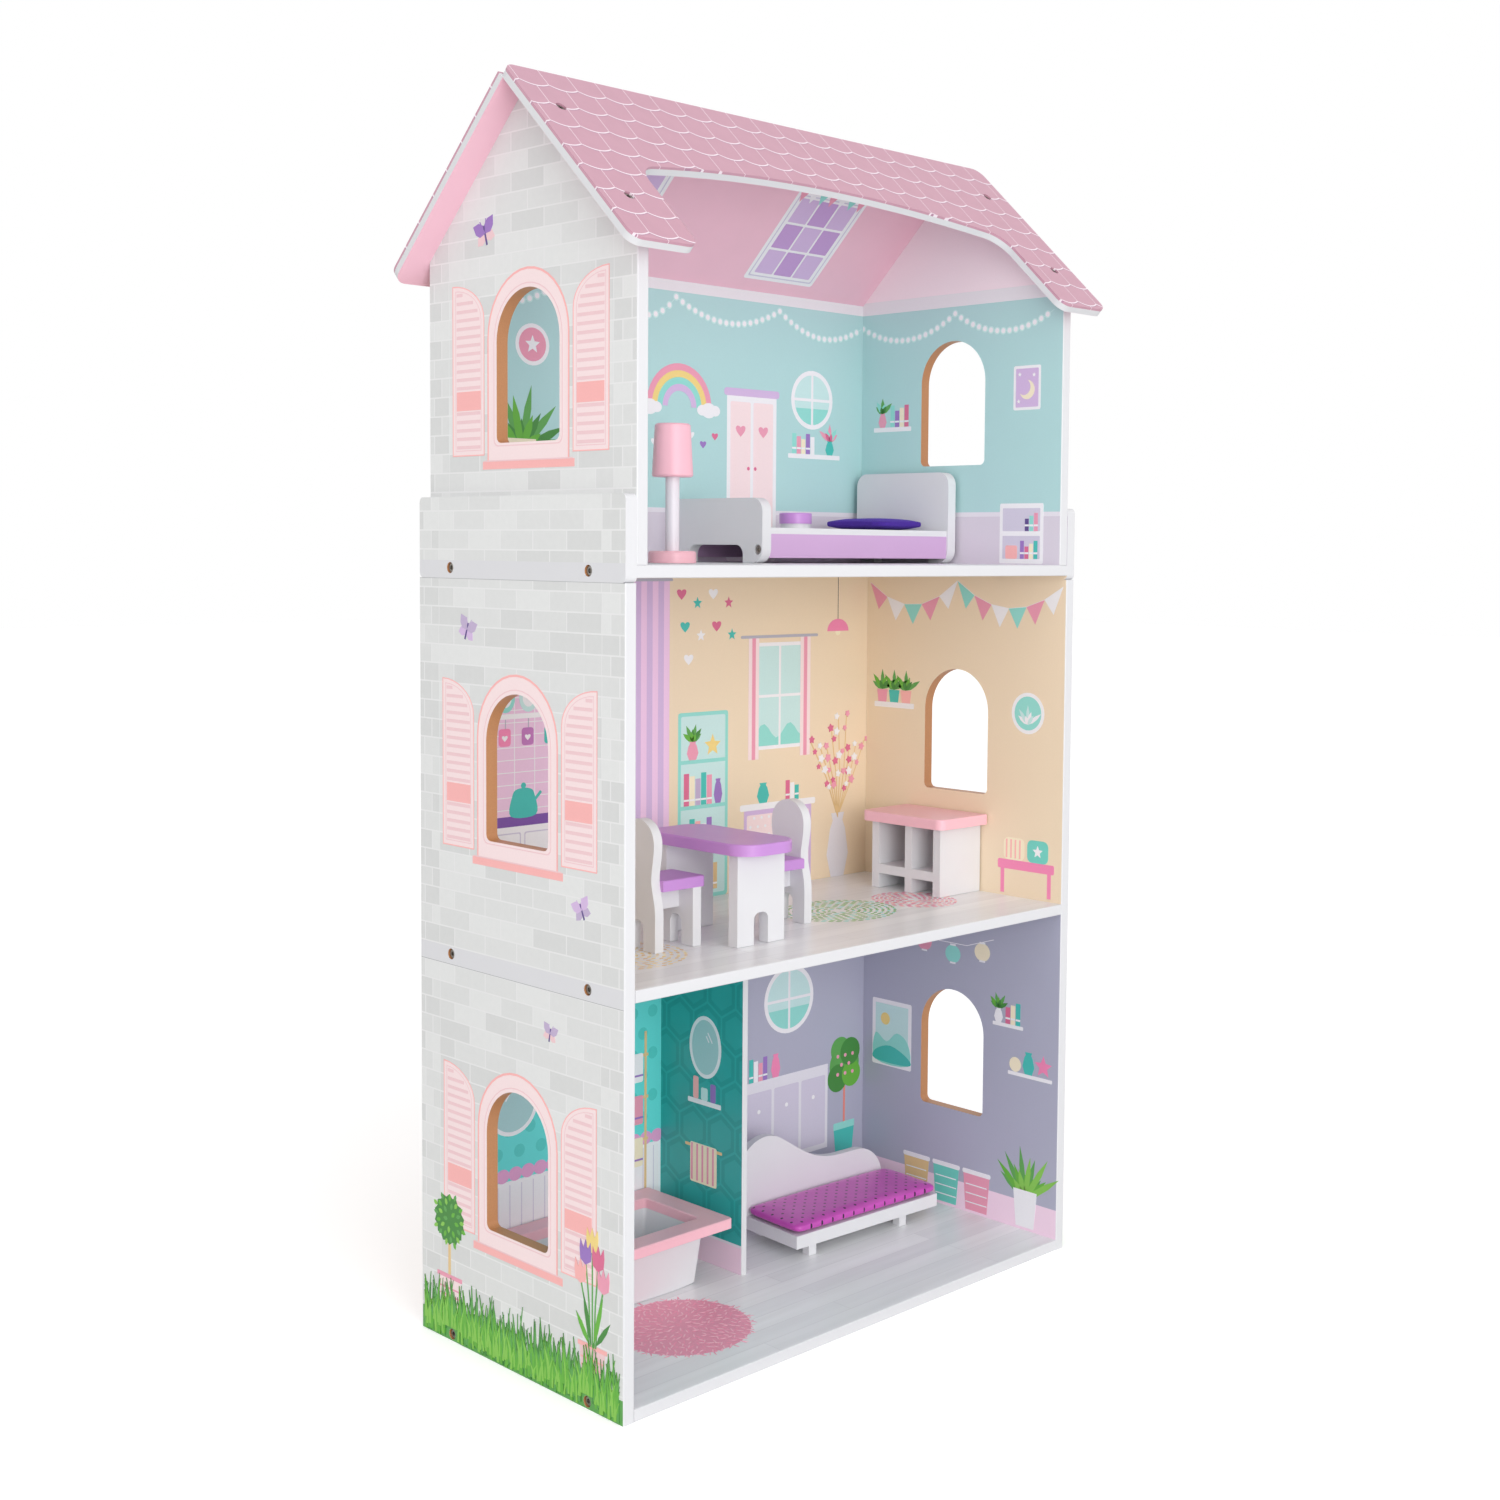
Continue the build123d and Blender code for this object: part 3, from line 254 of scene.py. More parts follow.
world = bpy.data.worlds.new("studio sky")
bpy.context.scene.world = world
world.use_nodes = True
sky = world.node_tree
rays = sky.nodes.new("ShaderNodeLightPath")
seen = sky.nodes.new("ShaderNodeMath")
seen.operation = "MAXIMUM"
level = sky.nodes.new("ShaderNodeMapRange")
level.inputs["To Min"].default_value = 0.60
level.inputs["To Max"].default_value = 1.0
sky.links.new(rays.outputs["Is Camera Ray"], seen.inputs[0])
sky.links.new(rays.outputs["Is Glossy Ray"], seen.inputs[1])
sky.links.new(seen.outputs[0], level.inputs["Value"])
sky.links.new(level.outputs[0], sky.nodes["Background"].inputs["Strength"])
sky.nodes["Background"].inputs["Color"].default_value = (1, 1, 1, 1)

bpy.ops.mesh.primitive_plane_add(size=30)
floor = bpy.context.object
floor.name = "studio_floor"
pale = Finish("pale studio floor", 0.9)
pale.colour(pale.tinted((0.86, 0.86, 0.86, 1), pale.noise(3.0), 0.01))
pale.shader.inputs["Specular IOR Level"].default_value = 0.0
glow = pale.node("ShaderNodeLightPath", "Is Camera Ray")
pale.shader.inputs["Emission Color"].default_value = (1, 1, 1, 1)
pale.feed(pale.sum("MULTIPLY", glow, 0.42), pale.shader.inputs["Emission Strength"])
floor.data.materials.append(pale.material)
print("studio floor", floor.dimensions[:])

# %% [markdown]
# ## Painted boards
#
# The white, lilac and pink pieces are sprayed MDF. Real spray paint is never one flat colour: it has a
# faint orange-peel surface and is slightly duller in places. Two noises give that, one for the bump and
# one for the gloss.


# %% Paint
DULL, CLOUDS = 0.38, 0.16  # a paint's roughness, and how much it varies


def paint(name, colour):
    made = Finish(name, DULL)
    cloudy = made.noise(22.0, 3.0)
    rough = made.sum("MULTIPLY_ADD", cloudy, CLOUDS, DULL - CLOUDS / 2)
    made.feed(rough, made.shader.inputs["Roughness"])
    made.shader.inputs["Coat Weight"].default_value = 0.12
    made.shader.inputs["Coat Roughness"].default_value = 0.3
    made.relief(made.noise(1400.0, 2.0), 0.00006, 0.5)
    return made.colour(made.tinted(linear(*colour), cloudy, 0.025))


WHITE = linear(223, 223, 226)
RAW_BOARD = linear(188, 132, 88)
white_paint = paint("white paint", (226, 226, 229))
lilac_paint = paint("lilac paint", (198, 142, 214))
rail_paint = paint("pale lilac paint", (208, 170, 213))
pink_paint = paint("pink paint", (250, 192, 204))
shade_paint = paint("lampshade pink paint", (253, 192, 207))
post_paint = paint("lamp post paint", (236, 230, 237))
print("paints:", [m.name for m in bpy.data.materials if "paint" in m.name])

# %% [markdown]
# ## Printed paper on the side walls
#
# The outside of each side wall is printed with pale brickwork, the inside with the rooms' wall colours,
# and the narrow edges are painted white. The cut faces of the arched windows are bare brown fibreboard.
# All of that is one board, so the material tells the faces apart by their distance from the middle of
# the house, and the rooms by height.

# %% Heights of the rooms and their wall colours
SKIRTING = linear(250, 220, 238)
DADO = linear(222, 214, 226)
AQUA = linear(182, 221, 221)
MOULDING = linear(238, 236, 240)
BEIGE = linear(242, 222, 193)
LAVENDER = linear(179, 180, 199)
CEILING = linear(247, 197, 213)
GABLE_PINK = linear(253, 237, 243)
LINE = linear(236, 232, 240)
TEAL = linear(104, 224, 220)

SKIRTING_TOP, LINE_TOP = 0.038, 0.0405
ROOMS = [
    (0.000, SKIRTING),
    (SKIRTING_TOP, LINE),
    (LINE_TOP, LAVENDER),
    (0.358, BEIGE),
    (0.712, DADO),
    (0.772, LINE),
    (0.775, AQUA),
    (0.996, MOULDING),
    (1.009, GABLE_PINK),
]
TOP = 1.2  # a height above the whole house
SKIN = 0.00005  # how far below its surface a printed face still counts as surface
WALL = 0.012
SEAM = 0.3536  # height of the joint between the lower and the middle walls
EDGES = 0.1065  # nearer to the middle than this, a wall's only cut faces are its window's
print(len(ROOMS), "bands of wall colour")


# %% Side walls
def dress(material, names):
    """Give the nodes named in the string this material."""
    for name in names.split():
        nodes[name].data.materials[0] = material


def brickwork(made):
    """Pale greys in running bond, with white bands at the joints between the wall boards."""

    def strips(*heights):
        return made.sum("MAXIMUM", *[made.between(made.z, low, high) for low, high in heights])

    face = made.vector(made.y, made.sum("SUBTRACT", made.z, SEAM))
    corner = made.over(made.sum("ABSOLUTE", made.y), 0.118)
    bricks = made.node(
        "ShaderNodeTexBrick",
        sockets={
            "Vector": face,
            "Color1": (0, 0, 0, 1),
            "Color2": (1, 1, 1, 1),
            "Scale": 1.0,
            "Mortar Size": 0.00075,
            "Mortar Smooth": 0.25,
            "Brick Width": made.sum("MULTIPLY_ADD", corner, -0.0236, 0.0472),
            "Row Height": 0.0173,
        },
    ).node
    greys = ((0.0, 226), (0.25, 219), (0.5, 231), (0.75, 224))
    greys = [(start, linear(g, g + 1, g)) for start, g in greys]
    shade = made.steps(bricks.outputs["Color"], 0.0, 1.0, greys)
    mottled = made.tinted(shade, made.noise(160.0, 4.0), 0.03)
    walls = made.mix(bricks.outputs["Fac"], mottled, linear(236, 236, 236))
    bands = strips((0.354, 0.3703), (0.708, 0.7243))
    seam = strips((0.3535, 0.3541), (0.7076, 0.7081))
    return made.mix(seam, made.mix(bands, walls, WHITE), linear(176, 176, 178))


def side_wall(name, outer, cut_top):
    """outer is the outside's distance from the middle. Below cut_top, window edges are bare board."""
    made = Finish(name, 0.42)
    across = made.sum("ABSOLUTE", made.x)
    grain = made.noise(500.0, 3.0)
    rooms = made.tinted(made.steps(made.z, 0.0, TOP, ROOMS), grain, 0.02)
    near = made.between(made.y, -EDGES, EDGES)
    cut = made.sum("MULTIPLY", near, made.sum("LESS_THAN", made.z, cut_top))
    bare = made.tinted(RAW_BOARD, made.noise(900.0, 4.0), 0.14)
    edge = made.mix(cut, WHITE, bare)
    inside = made.mix(made.over(across, outer - WALL + SKIN), rooms, edge)
    made.paper_tooth()
    return made.colour(made.mix(made.over(across, outer - SKIN), inside, brickwork(made)))


stacked = "left_wall_lower left_wall_middle right_wall_lower right_wall_middle left_parapet right_parapet"
dress(side_wall("brick print on the side walls", 0.300, 0.775), stacked)
dress(side_wall("brick print on the gable walls", 0.288, 0.970), "left_gable_wall right_gable_wall")

# %% [markdown]
# ## Floors
#
# Each floor board has a printed plank pattern on its top only; its edges and underside are white. The
# planks run along the house. A Brick texture gives the boards and their seams, and a noise stretched
# along the planks gives the streaks of wood grain.


# %% Floor boards
def planks(name, top):
    made = Finish(name, 0.3)
    flat = made.vector(made.x, made.sum("ADD", made.y, 0.1485))
    boards = made.node(
        "ShaderNodeTexBrick",
        offset=0.37,
        sockets={
            "Vector": flat,
            "Color1": linear(234, 235, 237),
            "Color2": linear(246, 247, 248),
            "Mortar": linear(218, 218, 221),
            "Scale": 1.0,
            "Mortar Size": 0.0004,
            "Mortar Smooth": 0.6,
            "Brick Width": 0.31,
            "Row Height": 0.0236,
        },
    )
    along = made.vector(made.sum("MULTIPLY", made.x, 5.0), made.sum("MULTIPLY", made.y, 90.0), 0.0)
    streaks = made.noise(1.0, 5.0, along)
    wide = made.noise(1.0, 2.0, made.vector(made.sum("MULTIPLY", made.x, 3.0), made.y, 0.0))
    printed = made.tinted(made.tinted(boards, streaks, 0.11), wide, 0.05)
    made.relief(streaks, 0.00003, 0.3)
    made.feed(made.sum("MULTIPLY_ADD", streaks, 0.12, 0.24), made.shader.inputs["Roughness"])
    return made.colour(made.mix(made.over(made.z, top - SKIN), WHITE, printed))


for node in ("base_floor", "middle_floor", "attic_floor"):
    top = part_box(node)[1].z
    dress(planks("planks on the " + node.replace("_", " "), top), node)
    print(node, "is printed at", round(top, 4))

# %% [markdown]
# ## Back panels and the partition
#
# The back panels are thin hardboard with the rooms' paper on their front. The lower one carries two
# rooms, so its colour changes at the partition. From behind, the bare fibreboard shows. The partition
# has deep teal tiles on the bathroom side: hexagons, which come from measuring how far a point is from
# the nearest centre of a triangular grid.


# %% Back panels
def back_paper(name, face):
    made = Finish(name, 0.42)
    grain = made.noise(500.0, 3.0)
    rooms = made.steps(made.z, 0.0, TOP, ROOMS)
    bath = [(0.0, SKIRTING), (SKIRTING_TOP, LINE), (LINE_TOP, TEAL), (0.358, BEIGE), (0.72, DADO)]
    left = made.sum("LESS_THAN", made.x, -0.014)
    printed = made.mix(left, rooms, made.steps(made.z, 0.0, TOP, bath + ROOMS[5:]))
    printed = made.tinted(printed, grain, 0.02)
    bare = made.tinted(RAW_BOARD, made.noise(700.0, 5.0), 0.12)
    made.paper_tooth()
    return made.colour(made.mix(made.over(made.y, face + SKIN), printed, bare))


back_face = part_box("back_panel_attic")[0].y
paper = back_paper("room print on the back panels", back_face)
dress(paper, "back_panel_lower back_panel_middle back_panel_attic")
print("back panels' face at y", round(back_face, 4))


# %% Partition
TILE = 0.042  # from the middle of one tile to the middle of the next


def hexagons(made, across, up, pitch):
    """1 near the seams of hexagonal tiles, 0 inside them."""
    row = pitch * math.sqrt(3)

    def folded(value, half, shift):
        """The distance from the middle of a cell, where cells are two halves wide."""
        return made.sum("ABSOLUTE", made.sum("WRAP", made.sum("ADD", value, shift * half), half, -half))

    def edge(shift):
        a, b = folded(across, pitch / 2, shift), folded(up, row / 2, shift)
        slant = made.sum("MULTIPLY_ADD", b, math.sqrt(3) / 2, made.sum("MULTIPLY", a, 0.5))
        return made.sum("MAXIMUM", a, slant)

    return made.sum("MINIMUM", edge(0), edge(1))


def partition_paper():
    made = Finish("tile print on the partition", 0.35)
    low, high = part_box("room_partition")
    seam = hexagons(made, made.y, made.z, TILE)
    glaze = made.mix(made.over(seam, 0.0198), linear(38, 160, 156), linear(50, 176, 172))
    inner = made.mix(made.over(seam, 0.0150), linear(48, 172, 168), glaze)
    tiles = made.tinted(inner, made.noise(45.0, 4.0), 0.07)
    foot = made.mix(made.over(made.z, SKIRTING_TOP), SKIRTING, LINE)
    tiled = made.mix(made.over(made.z, LINE_TOP), foot, tiles)
    living = made.tinted(made.steps(made.z, 0.0, TOP, ROOMS), made.noise(500.0, 3.0), 0.02)
    sides = made.mix(made.over(made.x, high.x - SKIN), WHITE, living)
    made.paper_tooth()
    return made.colour(made.mix(made.sum("LESS_THAN", made.x, low.x + SKIN), sides, tiled))


dress(partition_paper(), "room_partition")

# %% [markdown]
# ## Roof
#
# The top of each roof board is printed with rounded shingles. The rows run down the slope 29.9 mm apart,
# each row shifted by half a shingle, and every shingle ends in a shallow curve. In the material, the
# distance down the slope and the place along it are folded into one shingle with WRAP, and a point is
# white where it lies near the curve or near a side line. The underside is plain pink.


# %% Roof boards
PITCH = math.radians(43.2)
APEX = 1.136
ROW = 0.0299
SHINGLE = 0.0314
ARC = 0.0050  # how far the curved end of a shingle sinks between its sides
STROKE = 0.0008  # half the width of the white line along the curve
FIRST_ROW, FIRST_SHINGLE = 0.013, 0.277  # shifts of the pattern, down the slope and along it


def shingles(name, side, thickness):
    """side is -1 for the front slope and +1 for the rear one."""
    made = Finish(name, 0.4)
    drop = made.sum("SUBTRACT", APEX, made.z)
    out = made.sum("MULTIPLY", made.y, side)
    down = made.sum("MULTIPLY_ADD", out, math.cos(PITCH), made.sum("MULTIPLY", drop, math.sin(PITCH)))
    lift = made.sum("MULTIPLY_ADD", out, math.sin(PITCH), made.sum("MULTIPLY", drop, -math.cos(PITCH)))
    rows = made.sum("DIVIDE", made.sum("SUBTRACT", down, FIRST_ROW), ROW)
    row = made.sum("FLOOR", rows)
    below = made.sum("MULTIPLY", made.sum("FRACT", rows), ROW)
    half = made.sum("MULTIPLY", made.sum("WRAP", row, 2.0, 0.0), SHINGLE / 2)
    along = made.sum("ADD", made.sum("ADD", made.x, FIRST_SHINGLE), half)
    centred = made.sum("WRAP", made.sum("ADD", along, SHINGLE / 2), SHINGLE / 2, -SHINGLE / 2)
    share = made.sum("DIVIDE", centred, SHINGLE / 2)
    curve = made.sum("MULTIPLY", made.sum("SUBTRACT", 1.0, made.sum("MULTIPLY", share, share)), ARC)
    past = made.sum("SUBTRACT", below, curve)
    on_curve = made.sum("LESS_THAN", made.sum("ABSOLUTE", past), STROKE)
    beside = made.sum("LESS_THAN", made.sum("ABSOLUTE", centred), 0.0003)
    on_side = made.sum("MULTIPLY", beside, made.over(below, curve))
    lines = made.sum("MAXIMUM", on_curve, on_side)
    shadow = made.between(past, STROKE, 0.0020)
    tile = made.mix(shadow, linear(203, 153, 171), linear(186, 140, 164))
    printed = made.mix(lines, made.tinted(tile, made.noise(60.0, 4.0), 0.05), linear(247, 232, 240))
    under = made.tinted(CEILING, made.noise(30.0, 3.0), 0.03)
    covered = made.mix(made.over(lift, thickness - 0.0026), WHITE, printed)
    made.paper_tooth()
    print(name, "has rows", round(ROW * 1000, 1), "mm apart")
    return made.colour(made.mix(made.sum("LESS_THAN", lift, 0.00006), covered, under))


dress(shingles("shingle print on the front roof", -1, 0.009), "roof_front")
dress(shingles("shingle print on the rear roof", 1, 0.009), "roof_rear")

# %% [markdown]
# ## Furniture and fasteners
#
# The loose furniture is plain painted wood, so its finishes are the paints made above. The screws are
# dark zinc-plated steel and the hidden dowels are beech.


# %% Paints and hardware on their pieces
def steel():
    made = Finish("zinc plated steel", 0.35)
    made.shader.inputs["Metallic"].default_value = 1.0
    made.feed(made.sum("MULTIPLY_ADD", made.noise(600.0, 3.0), 0.25, 0.22), made.shader.inputs["Roughness"])
    return made.colour(made.tinted(linear(150, 146, 140), made.noise(900.0, 2.0), 0.12))


def beech():
    made = Finish("beech", 0.6)
    grain = made.noise(1.0, 4.0, made.vector(made.sum("MULTIPLY", made.x, 900.0), made.y, made.z))
    return made.colour(made.tinted(linear(222, 190, 150), grain, 0.1))


painted = {
    white_paint: (
        "bed_headboard bed_footboard bed_base table_leg_front table_leg_rear chair_left_back"
        " chair_left_front_leg chair_left_rail chair_right_back chair_right_front_leg"
        " chair_right_rail bench_side_front bench_side_rear bench_divider bench_shelf tub_body"
        " sofa_seat sofa_back sofa_legs box_base"
    ),
    lilac_paint: "table_top chair_left_seat chair_right_seat box_lid",
    rail_paint: "bed_rail_front bed_rail_back",
    pink_paint: "bench_top tub_rim lamp_base",
    shade_paint: "lamp_shade",
    post_paint: "lamp_post",
    steel(): "wall_screws roof_screws attic_screws bed_bolts",
    beech(): "wall_dowels",
}
for material, names in painted.items():
    dress(material, names)
print(sum(len(names.split()) for names in painted.values()), "painted or plated nodes")

# %% [markdown]
# ## A printing kit
#
# The pictures on the walls are printed ink, far too thin to model as solids, yet they should survive
# as geometry when the model is exported. So every shape is cut like a paper sticker: a flat filled
# curve, a few hundredths of a millimetre thick, made a mesh and laid on its wall. A colour attribute
# holds the ink, and one paper material shows it.

# %% Ink colours
INKS = dict(
    white=(246, 245, 248), paper=(232, 230, 238), cream=(250, 238, 208), sand=(232, 200, 146),
    yellow=(246, 218, 136), salmon=(253, 184, 182), slat=(243, 206, 210), blush=(252, 229, 230),
    pink=(240, 160, 184), rose=(224, 112, 150), lilac=(216, 188, 228), orchid=(200, 160, 216),
    mist=(214, 208, 226), orchidwall=(240, 204, 230), pillar=(244, 206, 238), counter=(126, 84, 168),
    bowl=(196, 122, 190), hotpink=(246, 140, 184), bathband=(232, 168, 212), mirror=(176, 214, 216),
    drawer=(116, 212, 198), seafoam=(88, 208, 202), rug=(252, 158, 187), rugtip=(253, 200, 212),
    mauve=(196, 178, 210), violet=(158, 120, 196), grape=(96, 74, 140), teal=(72, 194, 184),
    mint=(150, 224, 214), ice=(204, 236, 234), leaf=(96, 168, 84), moss=(70, 140, 62),
    grass=(104, 182, 62), blade=(138, 202, 84), pot=(236, 140, 124), grey=(186, 184, 198),
    dark=(58, 50, 62),
)


def ink_material():
    made = Finish("printed ink", 0.42)
    ink = made.node("ShaderNodeAttribute", "Color", attribute_name="ink")
    made.paper_tooth()
    return made.colour(made.tinted(ink, made.noise(500.0, 3.0), 0.03))


printed_ink = ink_material()
print(len(INKS), "inks")


# %% Outlines in millimetres
def box2(x0, y0, x1, y1, r=0.0):
    """A rectangle, with round corners if r is given."""
    if not r:
        return [(x0, y0), (x1, y0), (x1, y1), (x0, y1)]
    corners = ((x1 - r, y0 + r, -90), (x1 - r, y1 - r, 0), (x0 + r, y1 - r, 90), (x0 + r, y0 + r, 180))
    turns = [(x, y, math.radians(a + step)) for x, y, a in corners for step in (0, 30, 60, 90)]
    return [(x + r * math.cos(t), y + r * math.sin(t)) for x, y, t in turns]


def turned(x, y, turn, points):
    """The points turned by so many degrees and moved to (x, y)."""
    c, s = math.cos(math.radians(turn)), math.sin(math.radians(turn))
    return [(x + a * c - b * s, y + a * s + b * c) for a, b in points]


def disc(x, y, rx, ry=0.0, count=18):
    """A circle or, with a second radius, an oval."""
    ring = [math.tau * k / count for k in range(count)]
    return [(x + rx * math.cos(t), y + (ry or rx) * math.sin(t)) for t in ring]


def star(x, y, r, points=5, inner=0.45, turn=90.0):
    reach = (r, r * inner)
    ring = [(math.radians(turn + 180 * k / points), reach[k % 2]) for k in range(2 * points)]
    return [(x + d * math.cos(t), y + d * math.sin(t)) for t, d in ring]


def heart(x, y, r):
    def height(t):
        return 0.81 * math.cos(t) - 0.31 * math.cos(2 * t) - 0.125 * math.cos(3 * t)

    ring = [math.tau * k / 24 for k in range(24)]
    return [(x + r * math.sin(t) ** 3, y + r * height(t)) for t in ring]


def arch(x, y0, half, spring, r=0.0):
    """A door or window shape: straight sides up to the spring line, then a half circle."""
    head = [math.radians(a) for a in range(0, 181, 10)]
    top = [(x + half * math.cos(t), spring + half * math.sin(t)) for t in head]
    if not r:
        return [(x + half, y0)] + top + [(x - half, y0)]
    quarter = [math.radians(a) for a in (0, 30, 60, 90)]
    left = [(x - half + r - r * math.cos(t), y0 + r - r * math.sin(t)) for t in quarter]
    right = [(x + half - r + r * math.sin(t), y0 + r - r * math.cos(t)) for t in quarter]
    return top + left + right


def smooth(points, steps=5):
    """A soft closed line through the points, as a list of more points."""
    count = len(points)
    line = []
    for k in range(count):
        p = [points[(k + shift) % count] for shift in (-1, 0, 1, 2)]
        for step in range(steps):
            t = step / steps
            weight = (-t + 2 * t**2 - t**3, 2 - 5 * t**2 + 3 * t**3, t + 4 * t**2 - 3 * t**3, t**3 - t**2)
            line.append(tuple(sum(w * q[axis] for w, q in zip(weight, p)) / 2 for axis in (0, 1)))
    return line


def stroke(points, width):
    """A line of the given width through the points, as one outline."""
    left, right = [], []
    for k, (x, y) in enumerate(points):
        ax, ay = points[max(k - 1, 0)]
        bx, by = points[min(k + 1, len(points) - 1)]
        size = math.hypot(bx - ax, by - ay) or 1.0
        nx, ny = (ay - by) / size * width / 2, (bx - ax) / size * width / 2
        left.append((x + nx, y + ny))
        right.append((x - nx, y - ny))
    return left + right[::-1]


def leafy(x, y, length, width, turn):
    """A pointed leaf that grows from (x, y)."""
    half = [(0, 0), (0.3, 0.42), (0.65, 0.4), (1, 0), (0.65, -0.4), (0.3, -0.42)]
    return turned(x, y, turn, [(a * length, b * width) for a, b in half])


print("outlines ready")

# %% [markdown]
# ## From outline to sticker
#
# A sheet collects the shapes for one wall. Each call to draw makes one flat curve in one ink; an
# outline inside another one is a hole. Higher layers lie on lower ones. Two surfaces at one height would
# flicker, so shapes that overlap or touch go to different layers. At the end, press turns the curves
# into meshes, paints and joins them, and moves the whole print onto its wall.


# %% The sheet
MM = 0.001
LIFT = 0.06  # millimetres for each layer of ink
SUNK = 0.04  # millimetres that each sticker reaches into its wall


def flat_curve(name, outlines, thickness):
    """A filled flat curve through the outlines, as an object of the given thickness."""
    curve = bpy.data.curves.new(name, "CURVE")
    curve.dimensions = "2D"
    curve.fill_mode = "BOTH"
    curve.extrude = thickness / 2
    for outline in outlines:
        line = curve.splines.new("POLY")
        line.points.add(len(outline) - 1)
        for point, (x, y) in zip(line.points, outline):
            point.co = (x, y, 0, 1)
        line.use_cyclic_u = True
    made = bpy.data.objects.new(name, curve)
    bpy.context.scene.collection.objects.link(made)
    return made


class Sheet:
    def __init__(self, name, origin, across, up, flip=1, lift=LIFT):
        self.name, self.flip, self.lift, self.drawn = name, flip, lift, []
        across, up = Vector(across), Vector(up)
        axes = Matrix((across, up, across.cross(up))).transposed().to_4x4()
        self.place = Matrix.Translation(origin) @ axes @ Matrix.Scale(MM, 4)

    def draw(self, ink, layer, *outlines):
        top = self.lift * layer
        flipped = [[(self.flip * x, y) for x, y in outline] for outline in outlines]
        made = flat_curve(self.name, flipped, top + SUNK)
        made.location.z = (top - SUNK) / 2
        self.drawn.append((made, ink))

    def rows(self, shape, *rows):
        """Draw a table of shapes of one kind. A row is the ink, the layer and the shape's numbers."""
        for ink, layer, *numbers in rows:
            self.draw(ink, layer, shape(*numbers))

    def press(self, body="house", slot="room_print"):
        bpy.ops.object.select_all(action="DESELECT")
        for made, ink in self.drawn:
            made.select_set(True)
        bpy.context.view_layer.objects.active = self.drawn[0][0]
        bpy.ops.object.convert(target="MESH")
        for made, ink in self.drawn:
            paint_on = made.data.color_attributes.new("ink", "FLOAT_COLOR", "POINT")
            paint_on.data.foreach_set("color", linear(*INKS[ink]) * len(made.data.vertices))
        bpy.ops.object.mode_set(mode="EDIT")  # all stickers at once, so each is welded by itself
        bpy.ops.mesh.select_all(action="SELECT")
        bpy.ops.mesh.remove_doubles(threshold=1e-4)
        bpy.ops.mesh.normals_make_consistent(inside=False)
        bpy.ops.object.mode_set(mode="OBJECT")
        bpy.ops.object.join()
        piece = bpy.context.object
        piece.name = self.name
        bpy.ops.object.transform_apply(location=True, rotation=True, scale=True)
        piece.data.transform(self.place)
        piece.data.materials.clear()
        piece.data.materials.append(printed_ink)
        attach(piece, body)
        print(self.name, len(piece.data.polygons), "faces")
        return piece


def wall_sheet(name, x, side):
    """A sheet on a side wall. side is -1 where the print faces -x and +1 where it faces +x."""
    return Sheet(name, (x, 0, 0), (0, side, 0), (0, 0, 1), flip=side)


print("each ink layer is", LIFT, "mm thick")

# %% [markdown]
# ## Windows, shutters, butterflies, plants and grass on the side walls
#
# Each arched window has a printed pink frame, a sill and a pair of open shutters with slats. Both outer
# walls use the same drawing, and their sheets only differ in how they are placed. The grass along the
# foot is a few hundred curved blades from a seeded random generator, so every run grows the same lawn.
# The screw holes near the foot are left out of the print.


# %% Window trim
def window_trim(sheet, sill):
    frame_outer = arch(0, sill - 16, 59, sill + 92)
    sheet.draw("blush", 1, frame_outer, arch(0, sill, 45.4, sill + 88.25, 6.1))
    sheet.draw("salmon", 2, frame_outer, arch(0, sill - 16, 57, sill + 92))
    inner_line = arch(0, sill - 3, 49.6, sill + 88.25, 6), arch(0, sill - 2, 48.6, sill + 88.25, 6)
    sheet.draw("slat", 2, *inner_line)
    sheet.draw("salmon", 1, box2(-66, sill - 23, 66, sill - 16))
    sheet.draw("slat", 3, box2(-64, sill - 16.2, 64, sill - 15))
    for side in (-1, 1):
        shutter(sheet, side, sill)


def shutter(sheet, side, sill):
    """An open shutter: an outline, slats and one plain board between them."""
    near, far, foot, spring = 63.5, 112.5, -10.5, 110.5  # its edges, and where its top starts to curve

    def panel(margin):
        quarter = [math.radians(a) for a in range(0, 91, 10)]
        reach, rise = far - near - 2 * margin, 32.5 - margin
        head = [(far - margin - reach * math.sin(t), spring + rise * math.cos(t)) for t in quarter]
        base = [(near + margin, foot + margin), (far - margin, foot + margin)]
        return [(side * x, sill + y) for x, y in head + base]

    sheet.draw("blush", 1, panel(0))
    sheet.draw("salmon", 2, panel(0), panel(1.1))
    sheet.draw("slat", 2, panel(4.6), panel(5.4))
    slats = []
    for k in range(19):
        low = -4.0 + 7.6 * k
        if 27 < low < 48:
            continue
        over = max(0.0, (low + 4 - spring) / 27.5)  # 0 at the spring line, 1 at the top of the slats
        start = 69.6 if over == 0 else 106 - 37 * math.sqrt(max(0.0, 1 - over**2)) + 1.5
        if start < 102:
            slats.append([(side * x, sill + y) for x, y in box2(start, low, 106, low + 3)])
    sheet.draw("slat", 2, *slats)
    sheet.draw("salmon", 3, [(side * x, sill + y) for x, y in box2(69, 30.5, 106, 47.5)])


print("window trim ready")


